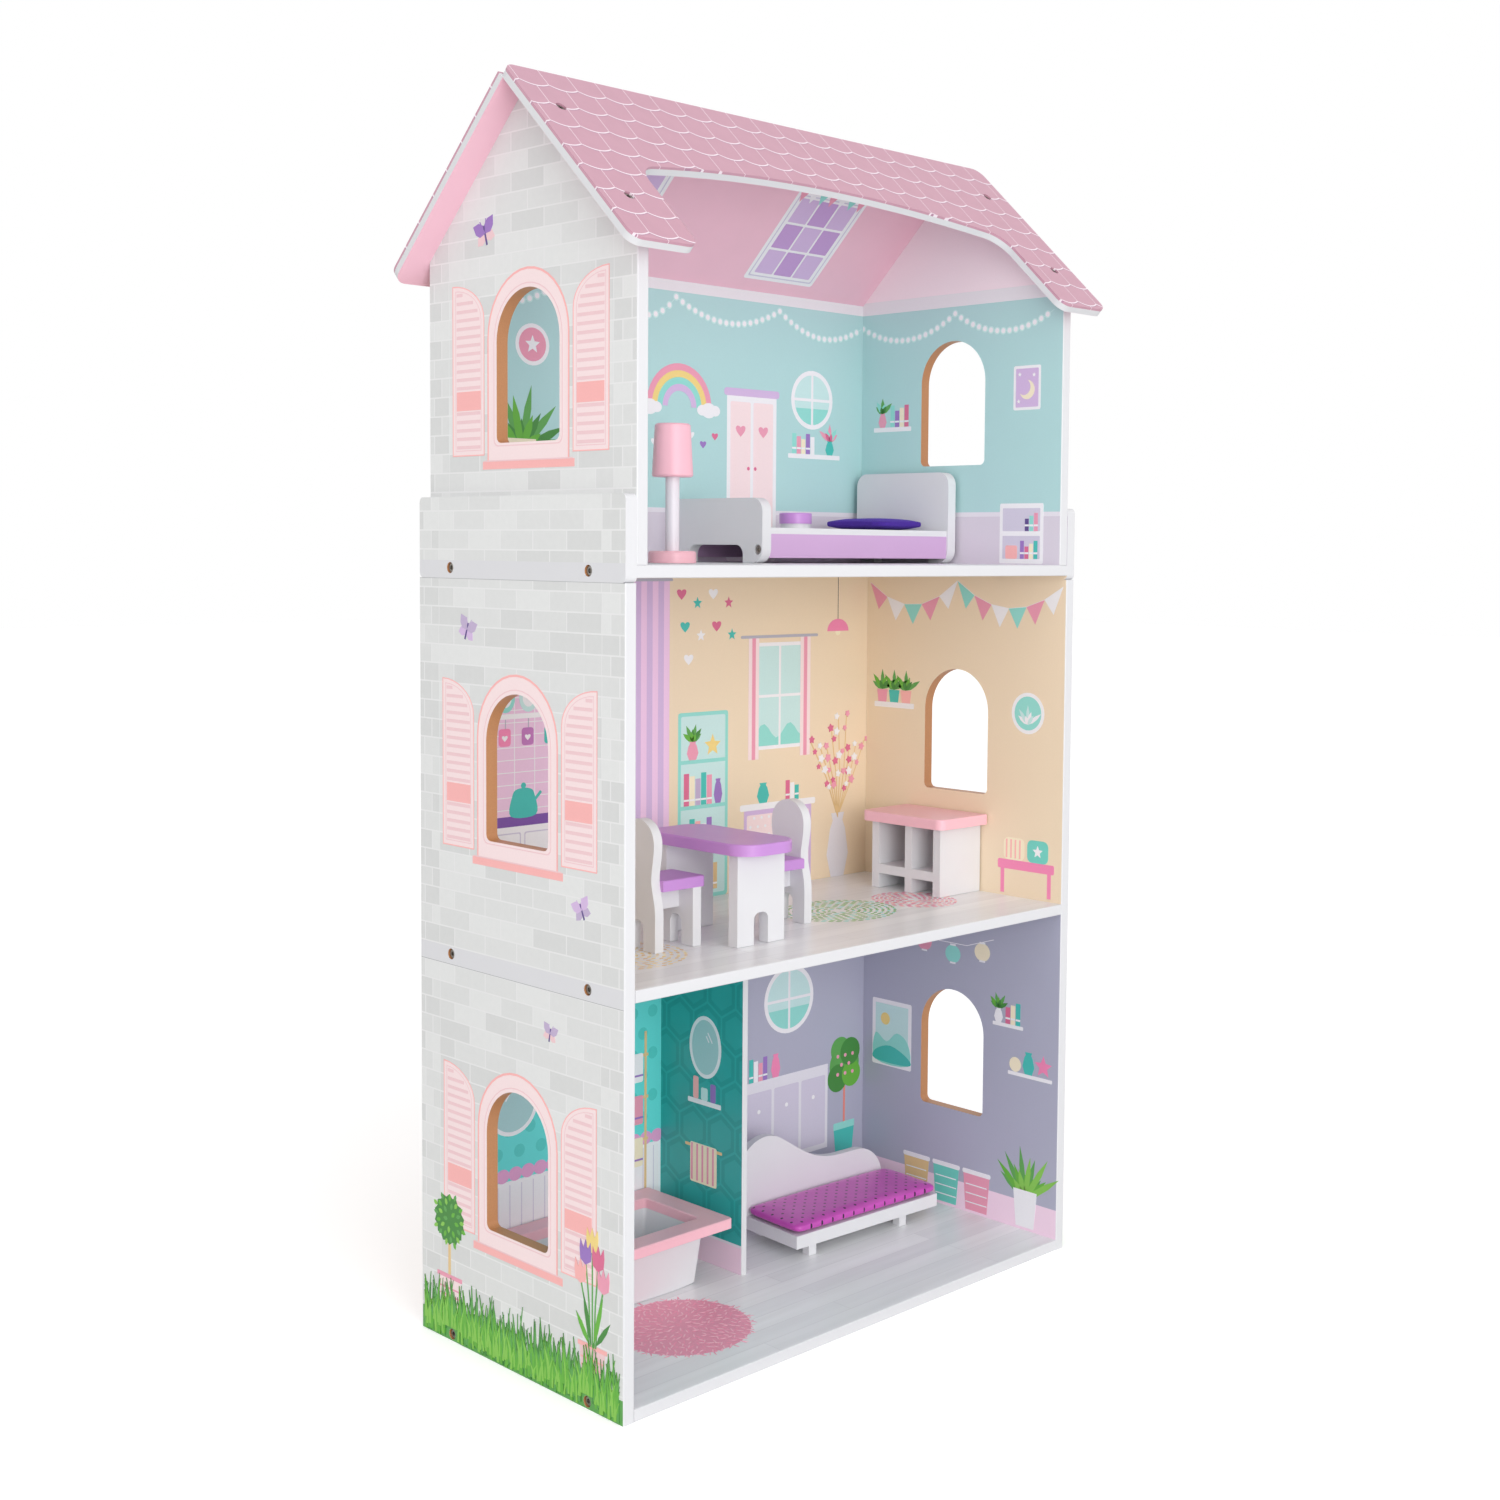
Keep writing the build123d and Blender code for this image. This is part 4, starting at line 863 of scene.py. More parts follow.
# %% Butterflies, pots and grass
def butterfly(sheet, x, y, size, turn, front, hind):
    """Four wings, a slim body and two feelers, tilted by turn degrees."""
    up = math.radians(turn + 90)
    for side in (-1, 1):
        sheet.draw(front, 3, leafy(x, y, 13 * size, 9 * size, turn + 90 + side * 52))
        sheet.draw(hind, 2, leafy(x, y, 10 * size, 8 * size, turn + 90 + side * 118))
        tip = up + side * 0.35
        feeler = [(x, y), (x + 9 * size * math.cos(tip), y + 9 * size * math.sin(tip))]
        sheet.draw(front, 5 if side > 0 else 6, stroke(feeler, 0.6 * size))
    ends = [(x + k * size * math.cos(up), y + k * size * math.sin(up)) for k in (-7, 5)]
    sheet.draw("grape", 4, stroke(ends, 1.5 * size))


def pot(sheet, x, y, ink, band):
    """A flower pot with a rim and two bands."""
    half, height = 18, 28
    foot, top = half * 0.8, y + height
    sheet.draw(ink, 1, [(x - foot, y), (x + foot, y), (x + half, top), (x - half, top)])
    sheet.draw(band, 2, box2(x - half * 1.1, y + height - 4, x + half * 1.1, y + height))
    for k in (0.25, 0.5):
        w = half * (0.8 + 0.2 * k)
        sheet.draw(band, 2, box2(x - w, y + height * k, x + w, y + height * k + 1.6))


def tulips(sheet, x, y):
    """A pot with five tulips on leaning stems."""
    pot(sheet, x, y, "slat", "salmon")
    for k, (turn, reach) in enumerate(((128, 32), (106, 46), (76, 44), (54, 30))):
        sheet.draw("grass" if k % 2 else "moss", 4 + k, leafy(x + 3 * k - 4.5, y + 28, reach, 6, turn))
    cup = [(-7, 0), (-8, 9), (-7, 17), (-3, 10), (0, 18), (3, 10), (7, 17), (8, 9), (7, 0), (0, -4)]
    inks = ("pink", "rose", "yellow", "violet", "salmon")
    for k, (reach, lean) in enumerate(((52, -15), (70, -8), (84, 0), (72, 9), (54, 16))):
        tip_x, tip_y = x + lean, y + 28 + reach
        stem = [(x + lean * 0.3, y + 26), (x + lean * 0.5, y + 28 + reach / 2), (tip_x, tip_y)]
        sheet.draw("leaf", 3, stroke(stem, 1.8))
        sheet.draw(inks[k], 8 + k % 2, [(tip_x + a, tip_y + b) for a, b in cup])


def ball_tree(sheet, x, y):
    """A tree clipped to a ball, in a pot. Its leaves are spread by the golden angle."""
    pot(sheet, x, y, "blush", "pink")
    sheet.draw("sand", 3, box2(x - 2, y + 28, x + 2, y + 62))
    sheet.draw("moss", 4, star(x, y + 80, 24, 14, 0.88))
    leaves = []
    for k in range(30):
        far, turn = 3.9 * math.sqrt(k + 0.5), math.radians(137.5 * k)
        leaves.append(leafy(x + far * math.cos(turn), y + 80 + far * math.sin(turn), 7, 4.5, 137.5 * k))
    for sort, ink in enumerate(("leaf", "grass", "blade")):
        sheet.draw(ink, 5 + sort, *leaves[sort::3])


def grass(sheet, seed):
    """Four sorts of blades in three batches each. The blades of a batch lean much the same way."""
    holes = [disc(-100, 6.5, 5.1, count=24), disc(100, 6.5, 5.1, count=24)]
    sheet.draw("leaf", 1, box2(-147.8, 0.4, 147.8, 22), *holes)
    grow = random.Random(seed)
    for sort, (ink, count, low, high) in enumerate(
        (("moss", 90, 22, 46), ("leaf", 130, 24, 52), ("grass", 130, 18, 44), ("blade", 80, 14, 34))
    ):
        blades = []
        for k in range(count):
            x = -146 + 292 * (k + grow.random()) / count
            near = min(abs(x - 100), abs(x + 100)) < 9
            foot = 13 if near else grow.uniform(1, 14)
            lean = (-6, 1, 6)[k % 3] + grow.uniform(-2, 2)
            tip = foot + grow.uniform(low, high)
            x = min(max(x, -144 + max(0, -lean)), 144 - max(0, lean))
            wide = grow.uniform(1.0, 2.0)
            middle = (foot + tip) / 2
            right, left = x + wide * 0.7 + lean * 0.3, x - wide * 0.7 + lean * 0.25
            blade = [(x - wide, foot), (x + wide, foot), (right, middle), (x + lean, tip), (left, middle)]
            blades.append(blade)
        for batch in range(3):
            sheet.draw(ink, 10 + 3 * sort + batch, *blades[batch::3])


print("plants ready")


# %% Print the outer walls
def outer_wall(name, x, side):
    sheet = wall_sheet(name, x, side)
    window_trim(sheet, 120.5)
    window_trim(sheet, 474.5)
    grass(sheet, 7 + side)
    ball_tree(sheet, 104, 34)
    tulips(sheet, -107, 30)
    butterfly(sheet, 74, 662, 1.3, 20, "mauve", "lilac")
    butterfly(sheet, -92, 430, 1.2, -24, "lilac", "mauve")
    butterfly(sheet, -48, 316, 1.0, 12, "mauve", "slat")
    return sheet.press(slot="wall_print")


outer_wall("print_left_wall", -0.3, -1)
outer_wall("print_right_wall", 0.3, 1)
for name, x, side in (("print_left_gable", -0.288, -1), ("print_right_gable", 0.288, 1)):
    gable = wall_sheet(name, x, side)
    window_trim(gable, 828.5)
    butterfly(gable, 62, 1014, 1.5, -16, "violet", "slat")
    gable.press(slot="wall_print")

# %% [markdown]
# ## Pictures in the attic
#
# The attic is printed as a bedroom: strings of small lights, a rainbow, a wardrobe, a round window and
# a plant on a stand, and on the right wall a shelf, a moon picture and a low bookcase. A few helpers
# draw what comes back in every room: books, vases, potted plants, lamps, mirrors and windows. Where a
# picture is built up from plain shapes, each row of a table is one of them: ink, layer and its numbers.


# %% Helpers for room pictures
def sagging(knots, gap, sag):
    """For each stretch between two knots, the points of a string that sags there."""
    for (x0, y0), (x1, y1) in zip(knots, knots[1:]):
        count = max(2, round(abs(x1 - x0) / gap))
        shares = [k / count for k in range(count + 1)]
        yield [(x0 + (x1 - x0) * t, y0 + (y1 - y0) * t - sag * 4 * t * (1 - t)) for t in shares]


def lights(sheet, knots):
    """Small round lamps on strings."""
    for line in sagging(knots, 8.6, 20.0):
        sheet.draw("ice", 1, stroke(line, 0.7))
        sheet.draw("ice", 2, *[disc(x, y, 4.1, count=12) for x, y in line[:-1]])
        sheet.draw("white", 3, *[disc(x, y, 2.7, count=12) for x, y in line[:-1]])


def flags(sheet, knots, inks):
    """Pointed flags on a string. Neighbours touch, so they are on two layers in turn."""
    k = 0
    for line in sagging(knots, 25, 26.0):
        sheet.draw("white", 1, stroke(line, 1.0))
        for (ax, ay), (bx, by) in zip(line, line[1:]):
            tip = ((ax + bx) / 2, (ay + by) / 2 - 22.0)
            sheet.draw(inks[k % len(inks)], 2 + k % 2, [(ax, ay), (bx, by), tip])
            k += 1


def books(sheet, x, y, inks, height=26.0, step=7.0, layer=3):
    """A row of upright books, each with a pale band."""
    for k, ink in enumerate(inks):
        left, right = x + k * step, x + (k + 1) * step - 0.8
        sheet.draw(ink, layer, box2(left, y, right, y + height - 3 * (k % 3)))
        sheet.draw("white", layer + 1, box2(left, y + 5, right, y + 7))


def pendant(sheet, x, top, low, ink, r):
    """A lamp with a domed shade on a cord from the ceiling."""
    turns = [math.radians(a) for a in range(0, 181, 15)]
    dome = [(x + r * math.cos(t), low + r * 0.8 * math.sin(t)) for t in turns]
    sheet.draw("dark", 2, stroke([(x, top), (x, low + r * 0.7)], 0.8))
    sheet.draw(ink, 3, dome)
    sheet.draw("cream", 2, disc(x, low - 1, 4, count=14))


def mirror(sheet, x, y, rx, ry):
    """An oval mirror in a white rim, with two short streaks of shine."""
    sheet.rows(disc, ("white", 2, x, y, rx, ry, 40), ("mirror", 3, x, y, rx - 4, ry - 4, 40))
    for shift, reach in ((0, 10), (5, 6)):
        low = (x - rx * 0.45 + shift, y + ry * 0.18)
        sheet.draw("white", 4, stroke([low, (low[0] + reach * 0.7, low[1] + reach)], 1.6))


def window(sheet, x0, y0, x1, y1, curtain):
    """A window with four panes, hills outside and a curtain on each side."""
    middle, half = (x0 + x1) / 2, (y0 + y1) / 2
    sheet.rows(box2, ("white", 1, x0, y0, x1, y1, 2), ("ice", 2, x0 + 4, y0 + 4, x1 - 4, y1 - 4))
    hills = [(x0 + 4 + k * (x1 - x0 - 8) / 12, y0 + 20 + 8 * math.sin(k * 0.9)) for k in range(13)]
    sheet.draw("mint", 3, [(x0 + 4, y0 + 4)] + hills + [(x1 - 4, y0 + 4)])
    sheet.rows(
        box2,
        ("white", 4, middle - 1.5, y0, middle + 1.5, y1),
        ("white", 5, x0, half - 1.5, x1, half + 1.5),
        ("grey", 8, x0 - 20, y1 + 5, x1 + 20, y1 + 8, 1.4),
    )
    for side, edge in ((-1, x0), (1, x1)):
        for fold in range(3):
            left, ink = edge + side * (fold * 5 - 4), curtain if fold % 2 else "blush"
            sheet.draw(ink, 6 + fold % 2, box2(left - 2.6, y0 - 10, left + 2.6, y1 + 5))


def round_window(sheet, x, y, r, hill, count):
    """A round window with two bars and a hill that fills it up to the height given."""
    sheet.rows(disc, ("white", 2, x, y, r, 0, count), ("ice", 3, x, y, r - 5, 0, count))
    sheet.draw("mint", 4, [(a, b) for a, b in disc(x, y, r - 5, count=count) if b < hill])
    bar = r - 4
    sheet.draw("white", 5, box2(x - 1.5, y - bar, x + 1.5, y + bar))
    sheet.draw("white", 6, box2(x - bar, y - 1.5, x + bar, y + 1.5))


def plant(sheet, x, y, height, spread, inks, count, width, layer):
    """A fan of pointed leaves from one root, on three layers in turn."""
    for k in range(count):
        turn = 90 + spread * (k / (count - 1) - 0.5)
        reach = height * (0.72 + 0.28 * math.sin(k * 2.4))
        sheet.draw(inks[k % len(inks)], layer + k % 3, leafy(x, y, reach, width, turn))


def vase(sheet, x, y, width, height, ink, layer):
    profile = ((0.6, 0), (1, 0.35), (0.7, 0.75), (0.45, 0.88), (0.6, 1))
    side = [(width / 2 * a, height * b) for a, b in profile]
    outline = [(x + a, y + b) for a, b in side] + [(x - a, y + b) for a, b in side[::-1]]
    sheet.draw(ink, layer, outline)


def potted(sheet, x, y, width, height, ink, layer, reach, spread, inks, count, leaf):
    """A plant whose root is a millimetre inside the rim of its vase."""
    vase(sheet, x, y, width, height, ink, layer)
    plant(sheet, x, y + height - 1, reach, spread, inks, count, leaf, layer)


def spots(sheet, ink, x0, y0, x1, y1, gap, r, layer):
    """Dots in rows, every other row half a gap along."""
    marks, row, y = [], 0, y0 + gap / 2
    while y < y1 - r:
        x = x0 + gap / 2 + (gap / 2 if row % 2 else 0)
        while x < x1 - r:
            marks.append(disc(x, y, r, count=10))
            x += gap
        row, y = row + 1, y + gap * 0.87
    sheet.draw(ink, layer, *marks)


def stripes(sheet, ink, x0, y0, x1, y1, gap):
    bars, x = [], x0 + gap / 2
    while x < x1 - gap / 4:
        bars.append(box2(x, y0, x + gap / 3, y1))
        x += gap
    sheet.draw(ink, 5, *bars)


def back_sheet(name):
    """A sheet on the face of the back panels."""
    return Sheet(name, (0, back_face, 0), (1, 0, 0), (0, 0, 1))


print("room helpers ready")


# %% Attic: lights, rainbow and plant
GREENS = ("leaf", "moss", "grass")
attic = back_sheet("print_attic_back")
lights(attic, [(-274, 984), (-150, 992), (-74, 990), (-1, 993), (146, 992), (274, 984)])
turns = [math.radians(t) for t in range(0, 181, 9)]
for band, (r, ink) in enumerate(((44, "pink"), (37, "yellow"), (30, "mint"), (23, "lilac"))):
    outer, inner = ([(4 + far * math.cos(t), 882 + far * math.sin(t)) for t in turns] for far in (r, r - 7))
    attic.draw(ink, 2 + band, outer + inner[::-1])
for x in (-36, 44):
    for dx, r in ((-9, 7), (0, 10), (9, 7)):
        attic.draw("white", 6 if dx else 7, disc(x + dx, 880, r, r * 0.8))
for k in range(7):
    attic.draw(("rose", "white", "violet")[k % 3], 2, heart(-46 + 16.5 * k, 854 - 9 * (k % 2), 4.4))
attic.rows(disc, ("white", 2, -182, 930, 20, 0, 28), ("pink", 3, -182, 930, 16, 0, 28))
attic.draw("white", 4, star(-182, 930, 9))
plant(attic, -195, 829, 64, 150, GREENS, 15, 10.0, 2)
attic.draw("sand", 5, [(-210, 838), (-206, 796), (-184, 796), (-180, 838)])
attic.draw("cream", 6, box2(-212, 832, -178, 840))
stand = box2(-216, 790, -174, 796, 1), box2(-212, 730, -208, 790), box2(-182, 730, -178, 790)
attic.draw("white", 2, *stand)
print(len(attic.drawn), "shapes so far")


# %% Attic: wardrobe, window and books
attic.rows(
    box2,
    ("white", 2, 70, 724, 142, 902, 3),
    ("lilac", 3, 66, 898, 146, 906, 3),
    ("mist", 3, 75, 732, 137, 754, 1),
    ("white", 3, 160, 836, 240, 841, 1),
    ("white", 2, -160, 728, -92, 812, 3),
    *[("blush", 3, -156, y, -96, y + 20, 2) for y in (732, 758, 784)],
    *[("blush", 3, x, 760, x + 29, 892, 2) for x in (75, 108)],
)
for door, knob in ((75, 101), (108, 111)):
    attic.draw("pink", 4, heart(door + 14.5, 862, 7))
    attic.draw("rose", 5, disc(knob, 822, 2.0, count=12))
round_window(attic, 196, 900, 32, 893, 36)
books(attic, 166, 841, ("mint", "pink", "cream", "violet", "white"), 22)
potted(attic, 224, 841, 13, 16, "teal", 5, 20, 110, ("pink", "mint", "rose"), 7, 6)
attic.press()


# %% Attic: right and left walls
def attic_side(name, x, side, full):
    sheet = wall_sheet(name, x, side)
    lights(sheet, [(134, 984), (-2, 991), (-136, 985)])
    if full:
        books(sheet, 64, 873, ("rose", "cream", "violet", "mint"), 24)
        potted(sheet, 103, 873, 12, 16, "pink", 4, 18, 100, ("leaf", "mint", "moss"), 7, 6)
        sheet.rows(
            box2,
            ("white", 3, 60, 868, 116, 873, 1),
            ("white", 1, -120, 884, -84, 930, 2),
            ("lilac", 2, -117, 887, -87, 927, 1),
            ("white", 3, -126, 724, -68, 787, 1.5),
            ("mist", 4, -122, 729, -72, 753, 0.8),
            ("mist", 4, -122, 758, -72, 782, 0.8),
            ("salmon", 5, -92, 729, -76, 743, 2),
        )
        books(sheet, -119, 729, ("teal", "cream", "rose", "violet"), 19, 6, 5)
        books(sheet, -119, 758, ("pink", "mint", "grape"), 19, 6, 5)
        sheet.rows(disc, ("cream", 3, -102, 905, 10, 0, 24), ("lilac", 4, -98, 908, 8.5, 0, 24))
        sheet.draw("white", 3, star(-92, 921, 2.6), star(-111, 920, 2.6), star(-91, 893, 2.6))
    return sheet.press()


attic_side("print_attic_right", 0.276, -1, True)
attic_side("print_attic_left", -0.276, 1, False)


# %% Attic: skylights on the ceiling
skylights = Sheet("print_ceiling", (0, 0, APEX), (1, 0, 0), (0, -math.cos(PITCH), math.sin(PITCH)))
for x in (-130, 131):
    skylights.draw("white", 1, box2(x - 50, -169, x + 50, -53, 3))
    frame_line = box2(x - 46, -165, x + 46, -57, 2), box2(x - 44.5, -163.5, x + 44.5, -58.5, 2)
    skylights.draw("mist", 2, *frame_line)
    for k in range(3):
        for row in range(3):
            left, low = x - 40 + 27.5 * k, -160 + 34 * row
            ink = "orchid" if (k + row) % 2 else "lilac"
            skylights.draw(ink, 3, box2(left, low, left + 25, low + 31, 1))
    for k in range(7):
        left = x - 49 + 14 * k
        flag = [(left, -50), (left + 14, -50), (left + 7, -66)]
        skylights.draw(("pink", "white", "mint")[k % 3], 4 + k % 2, flag)
skylights.press(slot="roof_pink")

# %% [markdown]
# ## Pictures on the middle floor
#
# The middle storey is a kitchen on the left, behind the table, and a living room with cream walls on
# the right: a bookcase, a window, a lamp and a vase with blossom, and on the right wall flags, a shelf
# and a bench with cushions.

# %% Middle floor: kitchen
middle = back_sheet("print_middle_back")
middle.draw("orchidwall", 1, box2(-287, 470, -54, 708))
for y in range(484, 700, 12):
    middle.draw("white", 2, box2(-287, y, -54, y + 0.8))
for x in range(-276, -60, 24):
    middle.draw("white", 3, box2(x, 484, x + 0.8, 640))
middle.rows(
    box2,
    ("white", 4, -280, 572, -60, 577, 1),
    ("white", 4, -280, 640, -60, 645, 1),
    ("white", 2, -287, 372, -54, 468),
    ("counter", 3, -287, 468, -54, 478),
    ("cream", 4, -252, 478, -236, 500, 3),
    ("grey", 7, -60, 703, -4, 706, 1.4),
)
for k in range(8):
    x = -268 + 27 * k
    middle.draw("grey", 4, stroke([(x, 572), (x, 563)], 1.0))
    middle.draw(("teal", "white", "hotpink", "bowl")[k % 4], 5, box2(x - 8, 546, x + 6, 563, 3))
    middle.draw("white" if k % 4 != 1 else "mint", 6, heart(x - 1, 554, 3.4))
    middle.draw(("ice", "pink", "mint")[k % 3], 5, disc(x, 592, 11, 14, 20))
    middle.draw("white", 6, disc(x, 592, 7, 9))
for x in range(-284, -70, 46):
    middle.draw("mist", 3, box2(x, 380, x + 42, 462, 2), box2(x + 1.2, 381.2, x + 40.8, 460.8, 2))
    middle.draw("violet", 4, disc(x + 36, 424, 2.2, count=12))
kettle = smooth([(-208, 478), (-178, 478), (-180, 498), (-186, 504), (-200, 504), (-206, 498)])
middle.draw("teal", 4, kettle)
middle.draw("teal", 5, stroke([(-184, 488), (-172, 500)], 3), disc(-193, 507, 3, count=12))
for fold in range(6):
    x = -54 + 7.6 * fold
    middle.draw("pillar" if fold % 2 else "lilac", 5 + fold % 2, box2(x, 430, x + 7.6, 704))

# %% Middle floor: bookcase and window
middle.rows(
    box2,
    ("mint", 2, 4, 369, 74, 566, 3),
    ("ice", 3, 8, 373, 70, 562, 2),
    *[("mint", 4, 6, y, 72, y + 4) for y in (416, 464, 512)],
    ("white", 3, 92, 455, 206, 462, 2),
    ("lilac", 2, 98, 369, 200, 455),
)
books(middle, 12, 377, ("pink", "cream", "teal", "violet", "rose", "sand"), 34, 8, 5)
books(middle, 20, 420, ("teal", "salmon", "white", "violet"), 34, 8, 5)
books(middle, 12, 468, ("rose", "cream", "mauve", "teal", "pink"), 34, 8, 5)
potted(middle, 24, 516, 16, 20, "pink", 5, 20, 110, GREENS, 9, 6)
middle.draw("yellow", 5, star(52, 530, 12))
vase(middle, 60, 468, 12, 26, "violet", 5)
for k in range(9):
    x, y = 8 + 22 * (k % 4) + 5 * (k // 4), 690 - 34 * (k // 4) - 10 * (k % 2)
    middle.draw(("rose", "teal", "white")[k % 3], 2, (heart, star)[k % 2](x, y, 6.5))
window(middle, 112, 520, 188, 636, "pink")
for x in (102, 151):
    middle.draw("blush", 3, box2(x, 374, x + 45, 450, 2))
    spots(middle, "white", x, 374, x + 45, 450, 11, 1.7, 4)
vase(middle, 126, 462, 18, 22, "teal", 4)
books(middle, 160, 462, ("rose", "white", "teal"), 22, 7, 4)

# %% Middle floor: lamp and blossom
pendant(middle, 240, 706, 646, "hotpink", 17)
vase(middle, 242, 369, 34, 72, "paper", 6)
ROOT_X, ROOT_Y = 242, 436  # where the twigs leave the vase
grow = random.Random(5)
for k in range(9):
    turn = math.radians(58 + 8 * k)
    reach = grow.uniform(78, 120)
    tip_x, tip_y = ROOT_X + reach * math.cos(turn) * 0.8, ROOT_Y + reach * math.sin(turn)
    bend = ((ROOT_X + tip_x) / 2 + 3, ROOT_Y + reach * 0.45)
    middle.draw("sand", 2 + k, stroke([(ROOT_X, ROOT_Y), bend, (tip_x, tip_y)], 1.2))
    for share in (0.45, 0.65, 0.85, 1.0):
        x = ROOT_X + (tip_x - ROOT_X) * share + grow.uniform(-3, 3)
        y = ROOT_Y + (tip_y - ROOT_Y) * share + grow.uniform(-3, 3)
        bloom = star(x, y, grow.uniform(3.5, 5.5), 5, 0.6, 20 * k)
        middle.draw(("pink", "white", "rose")[k % 3], 12 + k % 2, bloom)
middle.press()


# %% Middle floor: right wall
right = wall_sheet("print_middle_right", 0.288, -1)
flags(right, [(130, 700), (0, 704), (-144, 700)], ("pink", "white", "mint"))
for y, ink in ((110, "pink"), (92, "teal"), (74, "salmon")):
    right.draw(ink, 4, [(y - 6, 566), (y + 6, 566), (y + 8, 580), (y - 8, 580)])
    plant(right, y, 580, 24, 120, ("leaf", "grass", "moss"), 7, 6, 4)
right.rows(disc, ("white", 1, -100, 566, 22, 0, 30), ("mint", 2, -100, 566, 18, 0, 30))
plant(right, -100, 554, 22, 110, ("white", "ice"), 7, 5, 3)
right.rows(
    box2,
    ("white", 3, 62, 560, 122, 566, 1),
    ("hotpink", 3, -138, 398, -62, 408, 2),
    ("hotpink", 2, -134, 372, -129, 398),
    ("hotpink", 2, -71, 372, -66, 398),
    ("drawer", 4, -130, 408, -102, 432, 6),
    ("cream", 4, -98, 408, -70, 432, 6),
)
right.draw("white", 5, star(-116, 420, 7))
stripes(right, "salmon", -96, 410, -72, 430, 6)
right.press()

# %% [markdown]
# ## Pictures on the ground floor
#
# The ground floor has a bathroom with teal walls left of the partition, and a living room with lavender
# walls right of it: a round window, hanging lamps, a long shelf and a small tree, and on the right wall
# a landscape, paper lanterns, shelves and baskets.

# %% Ground floor: bathroom
ground = back_sheet("print_lower_back")
ground.draw("white", 2, box2(-287, 40, -18, 122))
for x in range(-280, -20, 14):
    ground.draw("mist", 3, box2(x, 44, x + 1, 118))
for x in range(-280, -20, 15):
    ground.draw("bathband", 3 + (x // 15) % 2, disc(x + 2, 128, 8, 7, 16))
for row, y in enumerate(range(150, 350, 22)):
    for x in range(-276, -24, 26):
        ground.draw("seafoam", 1, disc(x + 13 * (row % 2), y, 6.5, count=14))
mirror(ground, -206, 196, 30, 30)
ground.rows(box2, ("sand", 5, -72, 44, -69, 240), ("sand", 5, -40, 44, -37, 240))
for y, ink in ((214, "white"), (170, "pink"), (126, "cream")):
    ground.rows(
        box2,
        ("sand", 6, -74, y, -35, y + 3),
        (ink, 7, -68, y - 26, -42, y + 4, 2),
        ("violet", 8, -68, y - 20, -42, y - 18),
    )

# %% Ground floor: living room
round_window(ground, 168, 240, 38, 232, 40)
pendant(ground, 116, 353, 300, "teal", 14)
pendant(ground, 222, 353, 316, "hotpink", 14)
books(ground, 108, 156, ("teal", "white", "pink", "violet"))
vase(ground, 148, 156, 14, 26, "hotpink", 4)
ground.rows(
    box2,
    ("paper", 3, 100, 150, 230, 156, 1),
    ("paper", 2, 100, 60, 230, 150),
    *[("mist", 3, x, 66, x + 38, 144, 2) for x in (104, 146, 188)],
    ("mint", 4, 240, 76, 274, 84, 1),
    ("pot", 2, 255.5, 84, 258.5, 130),
)
ground.rows(disc, *[("white", 4, x, 122, 2.4, 0, 12) for x in (123, 165, 207)])
ground.draw("teal", 3, [(244, 44), (270, 44), (274, 82), (240, 82)])
crown = ((257, 150, 24), (246, 136, 16), (268, 138, 15), (250, 168, 15), (266, 164, 16))
for k, (x, y, r) in enumerate(crown):
    ground.draw(GREENS[k % 3], 3 + k, disc(x, y, r, count=22))
spots(ground, "pink", 240, 134, 276, 172, 12, 2.2, 8)
ground.press()

# %% Ground floor: right wall
right = wall_sheet("print_lower_right", 0.288, -1)
right.rows(
    box2,
    ("white", 1, 60, 150, 120, 226, 2),
    ("ice", 2, 65, 155, 115, 221),
    ("white", 3, -100, 226, -58, 230, 1),
    ("white", 3, -140, 176, -80, 180, 1),
)
right.draw("yellow", 3, disc(100, 204, 7, count=20))
far_hill = smooth([(65, 155), (115, 155), (115, 186), (98, 178), (82, 190), (65, 180)], 4)
near_hill = smooth([(65, 155), (115, 155), (115, 166), (92, 174), (65, 164)], 4)
right.draw("mint", 4, far_hill)
right.draw("teal", 5, near_hill)
right.draw("white", 1, stroke([(58, 318), (20, 306), (-20, 306), (-58, 318)], 0.8))
for y, z, ink in ((42, 302, "pink"), (0, 294, "mint"), (-42, 302, "cream")):
    right.draw(ink, 2, disc(y, z, 11, 10, 22))
    right.draw("white", 3, box2(y - 4, z + 9, y + 4, z + 11), box2(y - 4, z - 11, y + 4, z - 9))
books(right, -96, 230, ("teal", "cream", "rose"), 24)
potted(right, -66, 230, 12, 16, "white", 4, 18, 120, ("leaf", "grass", "moss"), 9, 5)
right.draw("hotpink", 3, star(-128, 192, 12))
vase(right, -108, 180, 16, 24, "teal", 4)
right.draw("cream", 3, disc(-90, 188, 8, count=20))
for y, ink in ((50, "sand"), (6, "drawer"), (-38, "pink")):
    right.draw(ink, 3, [(y - 15, 14), (y + 15, 14), (y + 19, 58), (y - 19, 58)])
    right.draw("white", 4, box2(y - 20, 54, y + 20, 59, 2))
    right.rows(box2, *[("white", 5, y - 15, z, y + 15, z + 1.2) for z in (22, 32, 42)])
plant(right, -106, 44, 58, 110, ("leaf", "grass", "blade"), 15, 8, 3)
right.draw("white", 6, [(-118, 14), (-94, 14), (-90, 54), (-122, 54)])
right.press()

# %% Partition, bathroom side
tiled = wall_sheet("print_partition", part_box("room_partition")[0].x, -1)
mirror(tiled, 66, 232, 24, 32)
tiled.rows(
    box2,
    ("white", 3, 42, 172, 92, 177, 1),
    ("violet", 3, 50, 177, 58, 196, 2),
    ("ice", 3, 62, 177, 72, 190, 2),
    ("salmon", 3, 76, 177, 84, 200, 2),
    ("sand", 3, 40, 126, 96, 129, 1),
    ("cream", 4, 48, 90, 88, 131, 2),
)
stripes(tiled, "pink", 48, 92, 88, 130, 8)
tiled.press()

